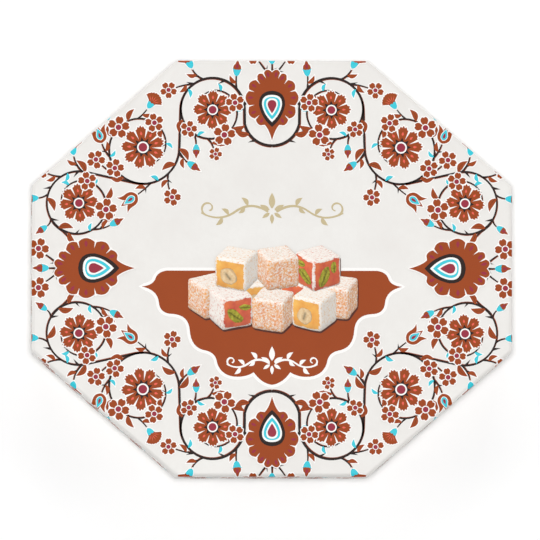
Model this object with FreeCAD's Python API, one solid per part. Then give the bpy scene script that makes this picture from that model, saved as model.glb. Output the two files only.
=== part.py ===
import FreeCAD, Part
import math
import os

# An eight-sided gift box of sweets: a folded carton base, a lift-off lid over it, and inside
# a formed tray of cut sweets under a loose sheet and a quilted pad.
# Millimetres, +Z up. The origin is under the middle of the box, on the surface it stands on.
# The box grows outwards from the sweets: tray, base and lid all take their size from them.

# Cut sweets, in rows along X
SWEET_WIDTH = 22.0
SWEET_HEIGHT = 21.5
SWEET_CORNER = 2.4
SWEET_EDGE = 1.2
SWEET_LEAN = 0.3
ROW_COUNTS = [3, 5, 6, 5, 3]
KINDS = ["hazelnut", "pistachio", "coconut"]

# Formed tray
PLASTIC = 0.5
POCKET_DEPTH = 15.5
POCKET_CLEARANCE = 0.3
POCKET_DRAFT = 1.1
LAND_X = 6.2
LAND_Y = 8.2
END_MARGIN = 10.25
SIDE_MARGIN = 7.75
RIM_RISE = 2.0
RIM_LAND = 2.0
RIM_DRAFT = 0.8
RIM_RADIUS = 1.0
LIP_DEPTH = 8.0
BEAD_WIDTH = 4.0
BEAD_HEIGHT = 1.2
BEAD_DRAFT = 0.7
BEAD_SETBACK = 3.0
TRAY_CLEARANCE = 0.75

# Loose sheet and quilted pad over the sweets
SHEET_THICKNESS = 0.2
SHEET_CLEARANCE = 0.9
PAD_THICKNESS = 5.0
PAD_CLEARANCE = 1.4
PAD_EDGE_THICKNESS = 1.6
PAD_EDGE_WIDTH = 6.0
PAD_CHANNEL_PITCH = 26.0
PAD_CHANNEL_RADIUS = 3.0
PAD_CHANNEL_DEPTH = 1.0
PAD_TUCK_DEPTH = 0.6
SOFT_GAP = 0.3

# Folded carton board
BOARD = 0.6
FOLD_RADIUS = 1.4
CORNER_SHARE = 0.3
TAB_LENGTH = 15.0
TAB_TAPER = 4.0
TAB_SETBACK = 1.2
LEAF_FOOT_GAP = 0.3
LEAF_END_GAP = 0.5
RIM_SEAT_GAP = 0.3
LID_CLEARANCE = 0.5
BASE_SHOWN = 6.0

# Cutting overrun, and the distance within which two levels count as one
OVERRUN = 1.0
SAME_LEVEL = 0.001

# Sweets and pockets share one straight-sided core, and round it at different radii
core = SWEET_WIDTH / 2 - SWEET_CORNER
pocket_radius = SWEET_CORNER + POCKET_CLEARANCE
mouth_radius = pocket_radius + POCKET_DRAFT
mouth_half = core + mouth_radius
pitch_x = 2 * mouth_half + LAND_X
pitch_y = 2 * mouth_half + LAND_Y

# Heights, from the table up
pocket_floor = BOARD + PLASTIC
deck_top = pocket_floor + POCKET_DEPTH
rim_top = deck_top + RIM_RISE
sweet_top = pocket_floor + SWEET_HEIGHT
sheet_top = sweet_top + SHEET_THICKNESS
pad_bottom = sheet_top + SOFT_GAP
pad_top = pad_bottom + PAD_THICKNESS
lid_underside = pad_top + SOFT_GAP
overall_height = lid_underside + BOARD
base_height = lid_underside - RIM_SEAT_GAP
lid_height = overall_height - BASE_SHOWN

# Plan sizes, measured inwards from the lid's outer faces
wall = 3 * BOARD
base_inset = wall + LID_CLEARANCE
base_inner_inset = base_inset + wall
tray_inset = base_inner_inset + TRAY_CLEARANCE
tray_half_x = (max(ROW_COUNTS) - 1) / 2 * pitch_x + mouth_half + END_MARGIN
tray_half_y = (len(ROW_COUNTS) - 1) / 2 * pitch_y + mouth_half + SIDE_MARGIN
lid_length = 2 * (tray_half_x + tray_inset)
lid_width = 2 * (tray_half_y + tray_inset)


def outline(inset):
    """The eight corners of the lid's outline moved inwards by inset, anticlockwise."""
    leg_x = CORNER_SHARE * lid_length
    leg_y = CORNER_SHARE * lid_width
    slope = math.hypot(leg_x, leg_y)
    half_x = lid_length / 2 - inset
    half_y = lid_width / 2 - inset
    # The slanted side is where leg_y * x + leg_x * y is this much
    slant = leg_y * lid_length / 2 + leg_x * (lid_width / 2 - leg_y) - inset * slope
    corner_y = (slant - leg_y * half_x) / leg_x
    corner_x = (slant - leg_x * half_y) / leg_y
    right = [(half_x, -corner_y), (half_x, corner_y), (corner_x, half_y)]
    left = [(-corner_x, half_y), (-half_x, corner_y), (-half_x, -corner_y)]
    return right + left + [(-corner_x, -half_y), (corner_x, -half_y)]


def octagon(inset, z):
    """The corners of the outline moved inwards by inset, at height z."""
    return [FreeCAD.Vector(x, y, z) for x, y in outline(inset)]


def flat_face(corners):
    """A plane face through its corners."""
    return Part.Face(Part.makePolygon(corners + corners[:1]))


def flat_sided_stack(sections):
    """A solid with plane sides through stacked sections, each a list of as many corners."""
    faces = [flat_face(sections[0]), flat_face(sections[-1])]
    for lower, upper in zip(sections, sections[1:]):
        for index in range(len(lower)):
            after = (index + 1) % len(lower)
            faces.append(flat_face([lower[index], lower[after], upper[after], upper[index]]))
    return Part.makeSolid(Part.makeShell(faces))


def prism(inset, low, high):
    """An eight-sided block between two heights."""
    return flat_face(octagon(inset, low)).extrude(FreeCAD.Vector(0, 0, high - low))


def edges_level_at(solid, z):
    """The edges that lie flat at height z."""
    level = []
    for edge in solid.Edges:
        box = edge.BoundBox
        if abs(box.ZMin - z) < SAME_LEVEL and abs(box.ZMax - z) < SAME_LEVEL:
            level.append(edge)
    return level


def upright_edges(solid):
    """The edges that run straight up."""
    return [edge for edge in solid.Edges if edge.BoundBox.ZLength > SAME_LEVEL]


def mitred_block(inset, low, high, fold_level, radius):
    """A block with the edges at one level rounded, meeting in mitres at the corners."""
    block = prism(inset, low, high)
    return block.makeFillet(radius, edges_level_at(block, fold_level))


def rounded_block(inset, low, high, fold_level, radius):
    """A block with the edges at one level and its upright edges rounded alike."""
    block = prism(inset, low, high)
    edges = upright_edges(block) + edges_level_at(block, fold_level)
    return block.makeFillet(radius, edges)


def wall_turn(start, end):
    """The turn about +Z that lays +Y along a wall, with the box's inside on its -X side."""
    heading = math.degrees(math.atan2(end[1] - start[1], end[0] - start[0]))
    return FreeCAD.Rotation(FreeCAD.Vector(0, 0, 1), heading - 90)


def along_wall(face, start, end, length):
    """Extrude a face drawn across a wall along it, centred between the wall's two corners."""
    middle = FreeCAD.Vector((start[0] + end[0]) / 2, (start[1] + end[1]) / 2, 0)
    piece = face.extrude(FreeCAD.Vector(0, length, 0))
    centred = FreeCAD.Placement(FreeCAD.Vector(0, -length / 2, 0), FreeCAD.Rotation())
    piece.Placement = FreeCAD.Placement(middle, wall_turn(start, end)).multiply(centred)
    return piece


def hem_section(height):
    """The rolled rim and the inner leaf below it. -X runs in from the wall's outer face."""
    bend = height - wall / 2
    inner_bend = wall / 2 - BOARD
    foot = BOARD + LEAF_FOOT_GAP
    outside = FreeCAD.Vector(0, 0, bend)
    crown = FreeCAD.Vector(-wall / 2, 0, height)
    inside = FreeCAD.Vector(-wall, 0, bend)
    inside_foot = FreeCAD.Vector(-wall, 0, foot)
    hidden_foot = FreeCAD.Vector(BOARD - wall, 0, foot)
    hidden = FreeCAD.Vector(BOARD - wall, 0, bend)
    hidden_crown = FreeCAD.Vector(-wall / 2, 0, bend + inner_bend)
    outer_leaf = FreeCAD.Vector(-BOARD, 0, bend)
    edges = [
        Part.Arc(outside, crown, inside).toShape(),
        Part.makeLine(inside, inside_foot),
        Part.makeLine(inside_foot, hidden_foot),
        Part.makeLine(hidden_foot, hidden),
        Part.Arc(hidden, hidden_crown, outer_leaf).toShape(),
        Part.makeLine(outer_leaf, outside),
    ]
    return Part.Face(Part.Wire(edges))


def corner_tab(start, end, height):
    """The glued tab that turns the corner and lies between the two leaves of the next wall."""
    low = BOARD + TAB_SETBACK
    high = height - wall / 2 - TAB_SETBACK
    reach = TAB_LENGTH
    points = [(BOARD, low), (reach, low + TAB_TAPER), (reach, high - TAB_TAPER), (BOARD, high)]
    corners = [FreeCAD.Vector(-BOARD, along, z) for along, z in points]
    tab = flat_face(corners).extrude(FreeCAD.Vector(-BOARD, 0, 0))
    corner = FreeCAD.Vector(start[0], start[1], 0)
    tab.Placement = FreeCAD.Placement(corner, wall_turn(start, end))
    return tab


def folded_carton(inset, height):
    """A tray of board with double walls, its panel on the ground and its rim up.

    The outer leaf and the panel are one board. At the rim each wall rolls over into an inner
    leaf, which is cut short at the corners, where the tabs show between the leaves.
    """
    shoulder = height - wall / 2
    inner_fold = FOLD_RADIUS - BOARD
    outer = rounded_block(inset, 0, shoulder, 0, FOLD_RADIUS)
    hollow = mitred_block(inset + BOARD, BOARD, shoulder + OVERRUN, BOARD, inner_fold)
    carton = outer.cut(hollow)
    section = hem_section(height)
    corners = outline(inset)
    inner_corners = outline(inset + wall)
    additions = []
    for index in range(len(corners)):
        start = corners[index]
        end = corners[(index + 1) % len(corners)]
        inner_start = inner_corners[index]
        inner_end = inner_corners[(index + 1) % len(corners)]
        clear = math.dist(inner_start, inner_end) - 2 * LEAF_END_GAP
        additions.append(along_wall(section, start, end, clear))
        additions.append(corner_tab(start, end, height))
    return carton.multiFuse(additions).removeSplitter()


def make_base():
    return folded_carton(base_inset, base_height)


def make_lid():
    lid = folded_carton(0, lid_height)
    lid.rotate(FreeCAD.Vector(0, 0, 0), FreeCAD.Vector(1, 0, 0), 180)
    lid.translate(FreeCAD.Vector(0, 0, overall_height))
    return lid


def softened_square(radius, z):
    """The corners of a square round the shared core, with a flat in place of each round."""
    half = core + radius
    side = half - radius * (2 - math.sqrt(2))
    points = []
    for quarter in range(4):
        turn = FreeCAD.Rotation(FreeCAD.Vector(0, 0, 1), 90 * quarter)
        points.append(turn.multVec(FreeCAD.Vector(half, -side, z)))
        points.append(turn.multVec(FreeCAD.Vector(half, side, z)))
    return points


def softened_stack(stations):
    """A solid through softened squares, given as (radius, z) from the bottom up."""
    return flat_sided_stack([softened_square(radius, z) for radius, z in stations])


def sweet_places():
    """Each sweet's kind, its number among its kind, and where it stands."""
    places = []
    made = {kind: 0 for kind in KINDS}
    for row, count in enumerate(ROW_COUNTS):
        y = ((len(ROW_COUNTS) - 1) / 2 - row) * pitch_y
        for column in range(count):
            x = (column - (count - 1) / 2) * pitch_x
            kind = KINDS[len(places) % len(KINDS)]
            made[kind] += 1
            places.append((kind, made[kind], FreeCAD.Vector(x, y, 0)))
    return places


def make_sweet(place):
    """A cut cube that has settled: softened edges, and sides that lean in a little."""
    top_radius = SWEET_CORNER - SWEET_LEAN
    stations = [
        (SWEET_CORNER - SWEET_EDGE, pocket_floor),
        (SWEET_CORNER, pocket_floor + SWEET_EDGE),
        (top_radius, sweet_top - SWEET_EDGE),
        (top_radius - SWEET_EDGE, sweet_top),
    ]
    sweet = softened_stack(stations)
    sweet.translate(place)
    return sweet


def pocket_hollow():
    stations = [
        (pocket_radius - SWEET_EDGE, pocket_floor),
        (pocket_radius, pocket_floor + SWEET_EDGE),
        (mouth_radius, deck_top),
        (mouth_radius, deck_top + OVERRUN),
    ]
    return softened_stack(stations)


def pocket_mass():
    """The outside of a pocket, one sheet of plastic away from its hollow."""
    bend = PLASTIC * math.tan(math.pi / 8)
    stations = [
        (pocket_radius - SWEET_EDGE + bend, pocket_floor - PLASTIC),
        (pocket_radius + PLASTIC, pocket_floor + SWEET_EDGE - bend),
        (mouth_radius + PLASTIC, deck_top - PLASTIC),
    ]
    return softened_stack(stations)


def bead_block(half_length, half_width, foot, low, high):
    """A long bar with its corners cut, upright from its foot to low and leaning in from there."""
    sections = []
    for lean, z in ((0, foot), (0, low), (BEAD_DRAFT, high)):
        x = half_length - lean
        y = half_width - lean
        cut = y / 2
        right = [(x, cut - y), (x, y - cut), (x - cut, y)]
        left = [(cut - x, y), (-x, y - cut), (-x, cut - y)]
        outline_points = right + left + [(cut - x, -y), (x - cut, -y)]
        sections.append([FreeCAD.Vector(px, py, z) for px, py in outline_points])
    return flat_sided_stack(sections)


def stiffening_beads():
    """A raised bead in the deck between each two rows, and the hollow under it."""
    masses = []
    hollows = []
    half_width = BEAD_WIDTH / 2
    for row in range(len(ROW_COUNTS) - 1):
        y = ((len(ROW_COUNTS) - 2) / 2 - row) * pitch_y
        shorter = min(ROW_COUNTS[row], ROW_COUNTS[row + 1])
        half_length = (shorter - 1) / 2 * pitch_x + mouth_half - BEAD_SETBACK
        bead_top = deck_top + BEAD_HEIGHT
        under_deck = deck_top - PLASTIC
        mass = bead_block(half_length, half_width, deck_top - PLASTIC / 2, deck_top, bead_top)
        hollow = bead_block(
            half_length - PLASTIC,
            half_width - PLASTIC,
            under_deck - OVERRUN,
            under_deck,
            bead_top - PLASTIC,
        )
        for block, group in ((mass, masses), (hollow, hollows)):
            block.translate(FreeCAD.Vector(0, y, 0))
            group.append(block)
    return masses, hollows


def make_tray():
    """One formed sheet: lip, raised rim, sunk deck with beads, and a drafted pocket per sweet."""
    lip_bottom = rim_top - LIP_DEPTH
    skin = mitred_block(tray_inset, lip_bottom, rim_top, rim_top, RIM_RADIUS)
    under = mitred_block(
        tray_inset + PLASTIC,
        lip_bottom - OVERRUN,
        rim_top - PLASTIC,
        rim_top - PLASTIC,
        RIM_RADIUS - PLASTIC,
    )
    rim_inner = tray_inset + PLASTIC + RIM_LAND
    deck_edge = rim_inner + RIM_DRAFT
    well_mass = flat_sided_stack(
        [octagon(deck_edge - PLASTIC, deck_top - PLASTIC), octagon(rim_inner - PLASTIC, rim_top)]
    )
    well = flat_sided_stack([octagon(deck_edge, deck_top), octagon(rim_inner, rim_top)])
    well_mouth = prism(rim_inner, rim_top, rim_top + OVERRUN)
    masses = [well_mass]
    hollows = [well, well_mouth]
    for kind, number, place in sweet_places():
        mass = pocket_mass()
        mass.translate(place)
        masses.append(mass)
        hollow = pocket_hollow()
        hollow.translate(place)
        hollows.append(hollow)
    tray = skin.cut(under).multiFuse(masses).cut(hollows)
    bead_masses, bead_hollows = stiffening_beads()
    return tray.multiFuse(bead_masses).cut(bead_hollows).removeSplitter()


def make_sheet():
    return prism(base_inner_inset + SHEET_CLEARANCE, sweet_top, sheet_top)


def pressing_bar(offset, length, depth):
    """A round bar along Y that presses one channel of this depth into the pad's top."""
    axis_height = pad_top - depth + PAD_CHANNEL_RADIUS
    start = FreeCAD.Vector(offset, -length / 2, axis_height)
    return Part.makeCylinder(PAD_CHANNEL_RADIUS, length, start, FreeCAD.Vector(0, 1, 0))


def make_pad():
    """A flat-bottomed quilted pad, thin at its edge.

    Deep channels are pressed across its top, and shallower tucks along it between them.
    """
    edge_inset = base_inner_inset + PAD_CLEARANCE
    levels = [
        octagon(edge_inset, pad_bottom),
        octagon(edge_inset, pad_bottom + PAD_EDGE_THICKNESS),
        octagon(edge_inset + PAD_EDGE_WIDTH, pad_top),
    ]
    pad = flat_sided_stack(levels)
    bars = []
    count = int(lid_length / 2 / PAD_CHANNEL_PITCH)
    for step in range(-count, count + 1):
        bars.append(pressing_bar(step * PAD_CHANNEL_PITCH, lid_width, PAD_CHANNEL_DEPTH))
    count = int(lid_width / 2 / PAD_CHANNEL_PITCH)
    for step in range(-count, count):
        tuck = pressing_bar((step + 1 / 2) * PAD_CHANNEL_PITCH, lid_length, PAD_TUCK_DEPTH)
        tuck.rotate(FreeCAD.Vector(0, 0, 0), FreeCAD.Vector(0, 0, 1), 90)
        bars.append(tuck)
    return pad.cut(bars)


def write(shape, name):
    """Write one solid to its STEP file."""
    solid = shape.Solids[0] if len(shape.Solids) == 1 else shape
    print(name, len(shape.Solids), "solid", round(shape.Volume), "mm3", shape.isValid())
    solid.exportStep(os.path.join("parts", name + ".step"))


def main():
    os.makedirs("parts", exist_ok=True)
    write(make_base(), "base")
    write(make_lid(), "lid")
    write(make_tray(), "sweet_tray")
    write(make_sheet(), "interleaf_sheet")
    write(make_pad(), "cushion_pad")
    for kind, number, place in sweet_places():
        write(make_sweet(place), "sweet_" + kind + "_" + str(number))
    print("outside", lid_length, lid_width, overall_height)


main()
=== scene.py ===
import cmath
import math

import bmesh
import bpy
from mathutils import Matrix, Vector, noise
from mathutils.geometry import convex_hull_2d, tessellate_polygon


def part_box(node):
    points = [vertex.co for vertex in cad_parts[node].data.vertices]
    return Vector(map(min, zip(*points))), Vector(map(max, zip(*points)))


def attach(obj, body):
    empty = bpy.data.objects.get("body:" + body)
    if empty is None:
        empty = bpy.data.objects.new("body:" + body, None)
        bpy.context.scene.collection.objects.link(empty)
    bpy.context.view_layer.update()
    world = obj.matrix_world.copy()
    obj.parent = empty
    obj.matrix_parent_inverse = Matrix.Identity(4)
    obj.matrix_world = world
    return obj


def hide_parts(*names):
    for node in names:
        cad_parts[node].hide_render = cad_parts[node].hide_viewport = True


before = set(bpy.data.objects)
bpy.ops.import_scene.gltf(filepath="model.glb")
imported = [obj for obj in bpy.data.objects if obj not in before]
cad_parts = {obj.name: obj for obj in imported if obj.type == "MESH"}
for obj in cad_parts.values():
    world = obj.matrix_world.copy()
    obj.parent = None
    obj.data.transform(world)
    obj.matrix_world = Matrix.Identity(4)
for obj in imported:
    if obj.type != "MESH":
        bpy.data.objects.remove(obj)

# An eight-sided gift box of sweets. Shapes are worked out in millimetres, in the CAD's frame,
# and turned into metres where a mesh is made.
MM = 0.001
FULL_TURN = 2 * math.pi
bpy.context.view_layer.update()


def box_mm(node):
    """The lowest and highest corner of a CAD node, in millimetres."""
    low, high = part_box(node)
    return low / MM, high / MM


lid_low, lid_high = box_mm("lid")
base_low, base_high = box_mm("base")
tray_high = box_mm("sweet_tray")[1]
sheet_low, sheet_high = box_mm("interleaf_sheet")
pad_low, pad_high = box_mm("cushion_pad")

# Folded board
BOARD = 0.6
WALL = 3 * BOARD
FOLD_RADIUS = 1.4
FOLD_STEPS = 6
HEM_STEPS = 8
SOFT_CORNER = 0.5
CORNER_STEPS = 4
FLAT_BORDER = 0.35
CORNER_SHARE = 0.3
TAB_LENGTH = 15.0
TAB_TAPER = 4.0
TAB_SETBACK = 1.2
LEAF_FOOT_GAP = 0.3
LEAF_END_GAP = 0.5
# Degrees from which an edge stays crisp
BOARD_SHARP = 35


def outline(inset):
    """The eight corners of the lid's outline moved inwards by inset, anticlockwise."""
    long_half, wide_half = lid_high.x, lid_high.y
    leg_x = CORNER_SHARE * 2 * long_half
    leg_y = CORNER_SHARE * 2 * wide_half
    half_x = long_half - inset
    half_y = wide_half - inset
    # The slanted side is where leg_y * x + leg_x * y is this much
    slant = leg_y * long_half + leg_x * (wide_half - leg_y) - inset * math.hypot(leg_x, leg_y)
    corner_y = (slant - leg_y * half_x) / leg_x
    corner_x = (slant - leg_x * half_y) / leg_y
    quarter = [complex(half_x, corner_y), complex(corner_x, half_y)]
    top = quarter + [complex(-p.real, p.imag) for p in quarter[::-1]]
    return top + [-p for p in top]


def unit(value):
    return value / abs(value)


def at_height(place, z):
    return place.real, place.imag, z


class Side:
    """One side of an outline: its start corner, the ways along and out of it, and its length."""

    def __init__(self, start, end):
        self.start = start
        self.along = unit(end - start)
        self.outward = -1j * self.along
        self.length = abs(end - start)


def sides_at(inset):
    """The eight sides of the outline moved inwards by inset."""
    corners = outline(inset)
    return [Side(start, end) for start, end in zip(corners, corners[1:] + corners[:1])]


def from_side(point, side):
    """How far along a side a point lies, and how far outside of it."""
    away = point - side.start
    return (away * side.along.conjugate()).real, (away * side.outward.conjugate()).real


class Shape:
    """Points in millimetres and the faces between them, each face with the number of its finish."""

    def __init__(self):
        self.points = []
        self.faces = []
        self.finishes = []

    def add(self, points, faces, finish=0):
        first = len(self.points)
        self.points += points
        self.faces += [[first + index for index in face] for face in faces]
        self.finishes += [finish] * len(faces)


def loft(shape, rings, first_cap=True, last_cap=True):
    """Faces between rings of as many points each, and a flat cap at either end where asked."""
    count = len(rings[0])
    faces = []
    for low in range(0, (len(rings) - 1) * count, count):
        for index in range(count):
            after = (index + 1) % count
            faces.append([low + index, low + after, low + count + after, low + count + index])
    if first_cap:
        faces.append(list(range(count))[::-1])
    if last_cap:
        faces.append([(len(rings) - 1) * count + index for index in range(count)])
    shape.add([point for ring in rings for point in ring], faces)


def mesh_from_shape(name, shape, recalculate=False):
    mesh = bpy.data.meshes.new(name)
    mesh.from_pydata([(x * MM, y * MM, z * MM) for x, y, z in shape.points], [], shape.faces)
    mesh.polygons.foreach_set("material_index", shape.finishes)
    if recalculate:
        work = bmesh.new()
        work.from_mesh(mesh)
        bmesh.ops.recalc_face_normals(work, faces=work.faces)
        work.to_mesh(mesh)
        work.free()
    mesh.update()
    return mesh


def mesh_from_work(name, work, parts=()):
    """One mesh from a bmesh drawn in millimetres and any further parts of it."""
    mesh = bpy.data.meshes.new(name)
    for part in parts:
        part.to_mesh(mesh)
        work.from_mesh(mesh)
        part.free()
    work.to_mesh(mesh)
    work.free()
    mesh.transform(Matrix.Scale(MM, 4))
    return mesh


def object_from_mesh(mesh, finishes, sharp_angle):
    """An object named after its mesh; edges sharper than the angle stay crisp, the rest are smooth."""
    for finish in finishes:
        mesh.materials.append(finish)
    mesh.shade_smooth()
    mesh.set_sharp_from_angle(angle=math.radians(sharp_angle))
    made = bpy.data.objects.new(mesh.name, mesh)
    bpy.context.scene.collection.objects.link(made)
    return made


def show(mesh, finishes, sharp_angle, body, replaced=()):
    """A piece that rides on its body, takes the given finishes and stands for CAD nodes, which it hides."""
    made = object_from_mesh(mesh, finishes, sharp_angle)
    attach(made, body)
    if replaced:
        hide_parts(*replaced)
    return made


def soft_ring(centres, radius, z, steps=CORNER_STEPS):
    """Points round a shape whose corners are arcs about the given centres, anticlockwise."""
    points = []
    for index, centre in enumerate(centres):
        before = -1j * unit(centre - centres[index - 1])
        after = -1j * unit(centres[(index + 1) % len(centres)] - centre)
        turn = cmath.phase(after / before) % FULL_TURN
        for step in range(steps + 1):
            points.append(at_height(centre + radius * before * cmath.exp(1j * turn * step / steps), z))
    return points


def smooth_step(value):
    value = min(1.0, max(0.0, value))
    return value * value * (3 - 2 * value)


# Folded cartons, drawn as open trays with the panel on the ground and the rim up
FOLD_ANGLES = [math.pi / 2 * step / FOLD_STEPS for step in range(FOLD_STEPS + 1)]
HEM_ANGLES = [math.pi * step / HEM_STEPS for step in range(HEM_STEPS + 1)]


def carton_shell(shape, inset, height):
    """The outer leaf and the panel: one board with a soft fold all round."""
    centres = outline(inset + FOLD_RADIUS + SOFT_CORNER)
    faces = []
    for radius in (FOLD_RADIUS, FOLD_RADIUS - BOARD):
        bend = [(radius * math.sin(angle), FOLD_RADIUS - radius * math.cos(angle)) for angle in FOLD_ANGLES]
        faces.append([(-FLAT_BORDER, FOLD_RADIUS - radius)] + bend + [(radius, height - WALL / 2)])
    profile = faces[0] + faces[1][::-1]
    loft(shape, [soft_ring(centres, SOFT_CORNER + reach, z) for reach, z in profile])


def carton_hems(shape, inset, height):
    """The rim of each wall, rolled over into an inner leaf that is cut short at the corners."""
    bend = height - WALL / 2
    foot = BOARD + LEAF_FOOT_GAP
    outside, inside = [[(radius * math.cos(angle) - WALL / 2, bend + radius * math.sin(angle))
                        for angle in HEM_ANGLES] for radius in (WALL / 2, WALL / 2 - BOARD)]
    section = outside + [(-WALL, foot), (BOARD - WALL, foot)] + inside[::-1]
    for side, inner in zip(sides_at(inset), sides_at(inset + WALL)):
        half = inner.length / 2 - LEAF_END_GAP
        middle = side.start + side.along * side.length / 2
        loft(shape, [[at_height(middle + side.along * end + side.outward * across, z)
                      for across, z in section] for end in (-half, half)])


def carton_tabs(shape, inset, height):
    """The glued tab that turns each corner and lies between the two leaves of the next wall."""
    low = BOARD + TAB_SETBACK
    high = height - WALL / 2 - TAB_SETBACK
    corners = [(BOARD, low), (TAB_LENGTH, low + TAB_TAPER), (TAB_LENGTH, high - TAB_TAPER), (BOARD, high)]
    for side in sides_at(inset):
        loft(shape, [[at_height(side.start + side.along * reach - side.outward * depth, z)
                      for reach, z in corners] for depth in (BOARD, 2 * BOARD)])


def make_carton(body, inset, height, turned_over, finish):
    """One carton; the lid is turned over, so that its panel lies on top."""
    shape = Shape()
    for build in (carton_shell, carton_hems, carton_tabs):
        build(shape, inset, height)
    if turned_over:
        shape.points = [(x, -y, lid_high.z - z) for x, y, z in shape.points]
    mesh = mesh_from_shape(body + "_board", shape, recalculate=True)
    show(mesh, [finish], BOARD_SHARP, body, [body])


# Finishes
def ink(red, green, blue):
    """A colour given as sRGB from 0 to 255, in linear light."""
    shares = [value / 255 for value in (red, green, blue)]
    linear = [share / 12.92 if share <= 0.04045 else ((share + 0.055) / 1.055) ** 2.4 for share in shares]
    return (*linear, 1.0)


class Finish:
    """A material as it is put together, node by node."""

    def __init__(self, name, coords="Object", **sockets):
        self.material = bpy.data.materials.new(name)
        self.material.use_nodes = True
        self.tree = self.material.node_tree
        self.shader = self.tree.nodes["Principled BSDF"]
        self.fill(self.shader, **sockets)
        if coords == "Object":
            self.coords = self.node("TexCoord").outputs["Object"]
        else:
            self.coords = self.attribute(coords, "Vector")

    def link(self, target, value):
        if isinstance(value, bpy.types.NodeSocket):
            self.tree.links.new(value, target)
        else:
            target.default_value = value

    def fill(self, node, **sockets):
        """Set or link a node's inputs, in whose names an underscore stands for a space."""
        for name, value in sockets.items():
            self.link(node.inputs[name.replace("_", " ")], value)
        return node

    def node(self, kind, **sockets):
        return self.fill(self.tree.nodes.new("ShaderNode" + kind), **sockets)

    def attribute(self, name, output):
        node = self.node("Attribute")
        node.attribute_name = name
        return node.outputs[output]

    def noise(self, size, detail=3.0, rough=0.5, stretch=None):
        """Noise whose features are about size millimetres across."""
        coords = self.coords
        if stretch:
            coords = self.node("Mapping", Scale=stretch, Vector=coords).outputs["Vector"]
        return self.node("TexNoise", Scale=1 / (size * MM), Detail=detail, Roughness=rough,
                         Vector=coords).outputs["Fac"]

    def cells(self, size, feature, random):
        """The distance within cells of size millimetres, from regular at 0 to random at 1."""
        node = self.node("TexVoronoi")
        node.feature = feature
        self.fill(node, Scale=1 / (size * MM), Randomness=random, Vector=self.coords)
        return node.outputs["Distance"]

    def maths(self, operation, first, second):
        node = self.node("Math")
        node.operation = operation
        self.link(node.inputs[0], first)
        self.link(node.inputs[1], second)
        return node.outputs[0]

    def spread(self, value, low, high, to_low=0.0, to_high=1.0):
        """The value carried from one range to another, and held within it."""
        return self.node("MapRange", Value=value, From_Min=low, From_Max=high,
                         To_Min=to_low, To_Max=to_high).outputs["Result"]

    def mix(self, share, first, second, way="MIX"):
        """Two colours mixed by a share."""
        node = self.node("Mix")
        node.data_type = "RGBA"
        node.blend_type = way
        for index, value in ((0, share), (6, first), (7, second)):
            self.link(node.inputs[index], value)
        return node.outputs[2]

    def fade(self, value, low, high, first, second, most=1.0):
        """The first colour where the value is low, and up to a share of the second where it is high."""
        return self.mix(self.spread(value, low, high, 0.0, most), first, second)

    def shaded(self, tone):
        """The tone times the mesh's shade number: painted shade on the pad and in nut clefts, the nuts'
        darker skin, and the picture's printed shading.
        """
        return self.mix(1.0, tone, self.attribute("shade", "Color"), "MULTIPLY")

    def bump(self, height, depth, strength=1.0, after=None):
        """Bump whose full height is depth millimetres."""
        node = self.node("Bump", Strength=strength, Distance=depth * MM, Height=height)
        if after is not None:
            self.link(node.inputs["Normal"], after)
        return node.outputs["Normal"]

    def finish(self, colour, roughness, normal=None):
        self.fill(self.shader, Base_Color=colour, Roughness=roughness)
        if normal is not None:
            self.link(self.shader.inputs["Normal"], normal)
        return self.material


def coated_board(name, pale, dark):
    """Smooth coated carton board: a faint fibre cloud in its colour and its gloss."""
    made = Finish(name, Coat_Weight=0.08, Coat_Roughness=0.35, Specular_IOR_Level=0.25)
    cloud = made.noise(24, 4, 0.6)
    fibre = made.noise(0.9, 5, 0.65, stretch=(1.0, 0.35, 1.0))
    tone = made.fade(cloud, 0.35, 0.65, ink(*pale), ink(*dark))
    tone = made.fade(fibre, 0.3, 0.7, tone, ink(*dark), 0.22)
    gloss = made.spread(fibre, 0.3, 0.7, 0.42, 0.52)
    return made.finish(tone, gloss, made.bump(fibre, 0.012, 0.5, made.bump(cloud, 0.12, 0.25)))


def printed_ink(name, colour, deep, grain=0.35, roughness=0.42, relief=0.02):
    """Ink on the board, with a fine grain and a slow drift in its depth of colour."""
    made = Finish(name + "_ink", Specular_IOR_Level=0.12)
    fine = made.noise(grain, 4, 0.7)
    tone = made.fade(fine, 0.25, 0.75, ink(*deep), ink(*colour))
    tone = made.fade(made.noise(11, 3, 0.6), 0.35, 0.7, tone, ink(*deep), 0.35)
    gloss = made.spread(fine, 0.3, 0.7, roughness - 0.06, roughness + 0.1)
    return made.finish(tone, gloss, made.bump(fine, relief, 0.6))


def jelly_finish(name, colour, deep, printed):
    """Soft jelly under sugar: the sugar is thick on the outside and thin on the cut faces."""
    made = Finish(name, "source", Specular_IOR_Level=0.1 if printed else 0.4,
                  Coat_Weight=0.0 if printed else 0.15, Coat_Roughness=0.3)
    if not printed:
        made.fill(made.shader, Subsurface_Weight=0.25, Subsurface_Radius=(1.0, 0.5, 0.3),
                  Subsurface_Scale=3.0 * MM)
    clumps = made.noise(1.5, 5, 0.7)
    grains = made.noise(0.45, 3, 0.8)
    tone = made.fade(made.noise(6, 3), 0.3, 0.7, ink(*deep), ink(*colour))
    cover = made.maths("ADD", made.maths("MULTIPLY", made.attribute("sugar", "Fac"), 0.5), clumps)
    cover = made.maths("ADD", cover, made.maths("MULTIPLY", grains, 0.25))
    dust = made.spread(cover, 0.9, 1.12)
    tone = made.mix(dust, tone, made.mix(grains, ink(238, 228, 216), ink(255, 253, 249)))
    relief = None if printed else made.bump(grains, 0.16, 0.5, made.bump(clumps, 0.4, 0.35))
    return made.finish(made.shaded(tone), made.spread(dust, 0.0, 1.0, 0.34, 0.85), relief)


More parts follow.
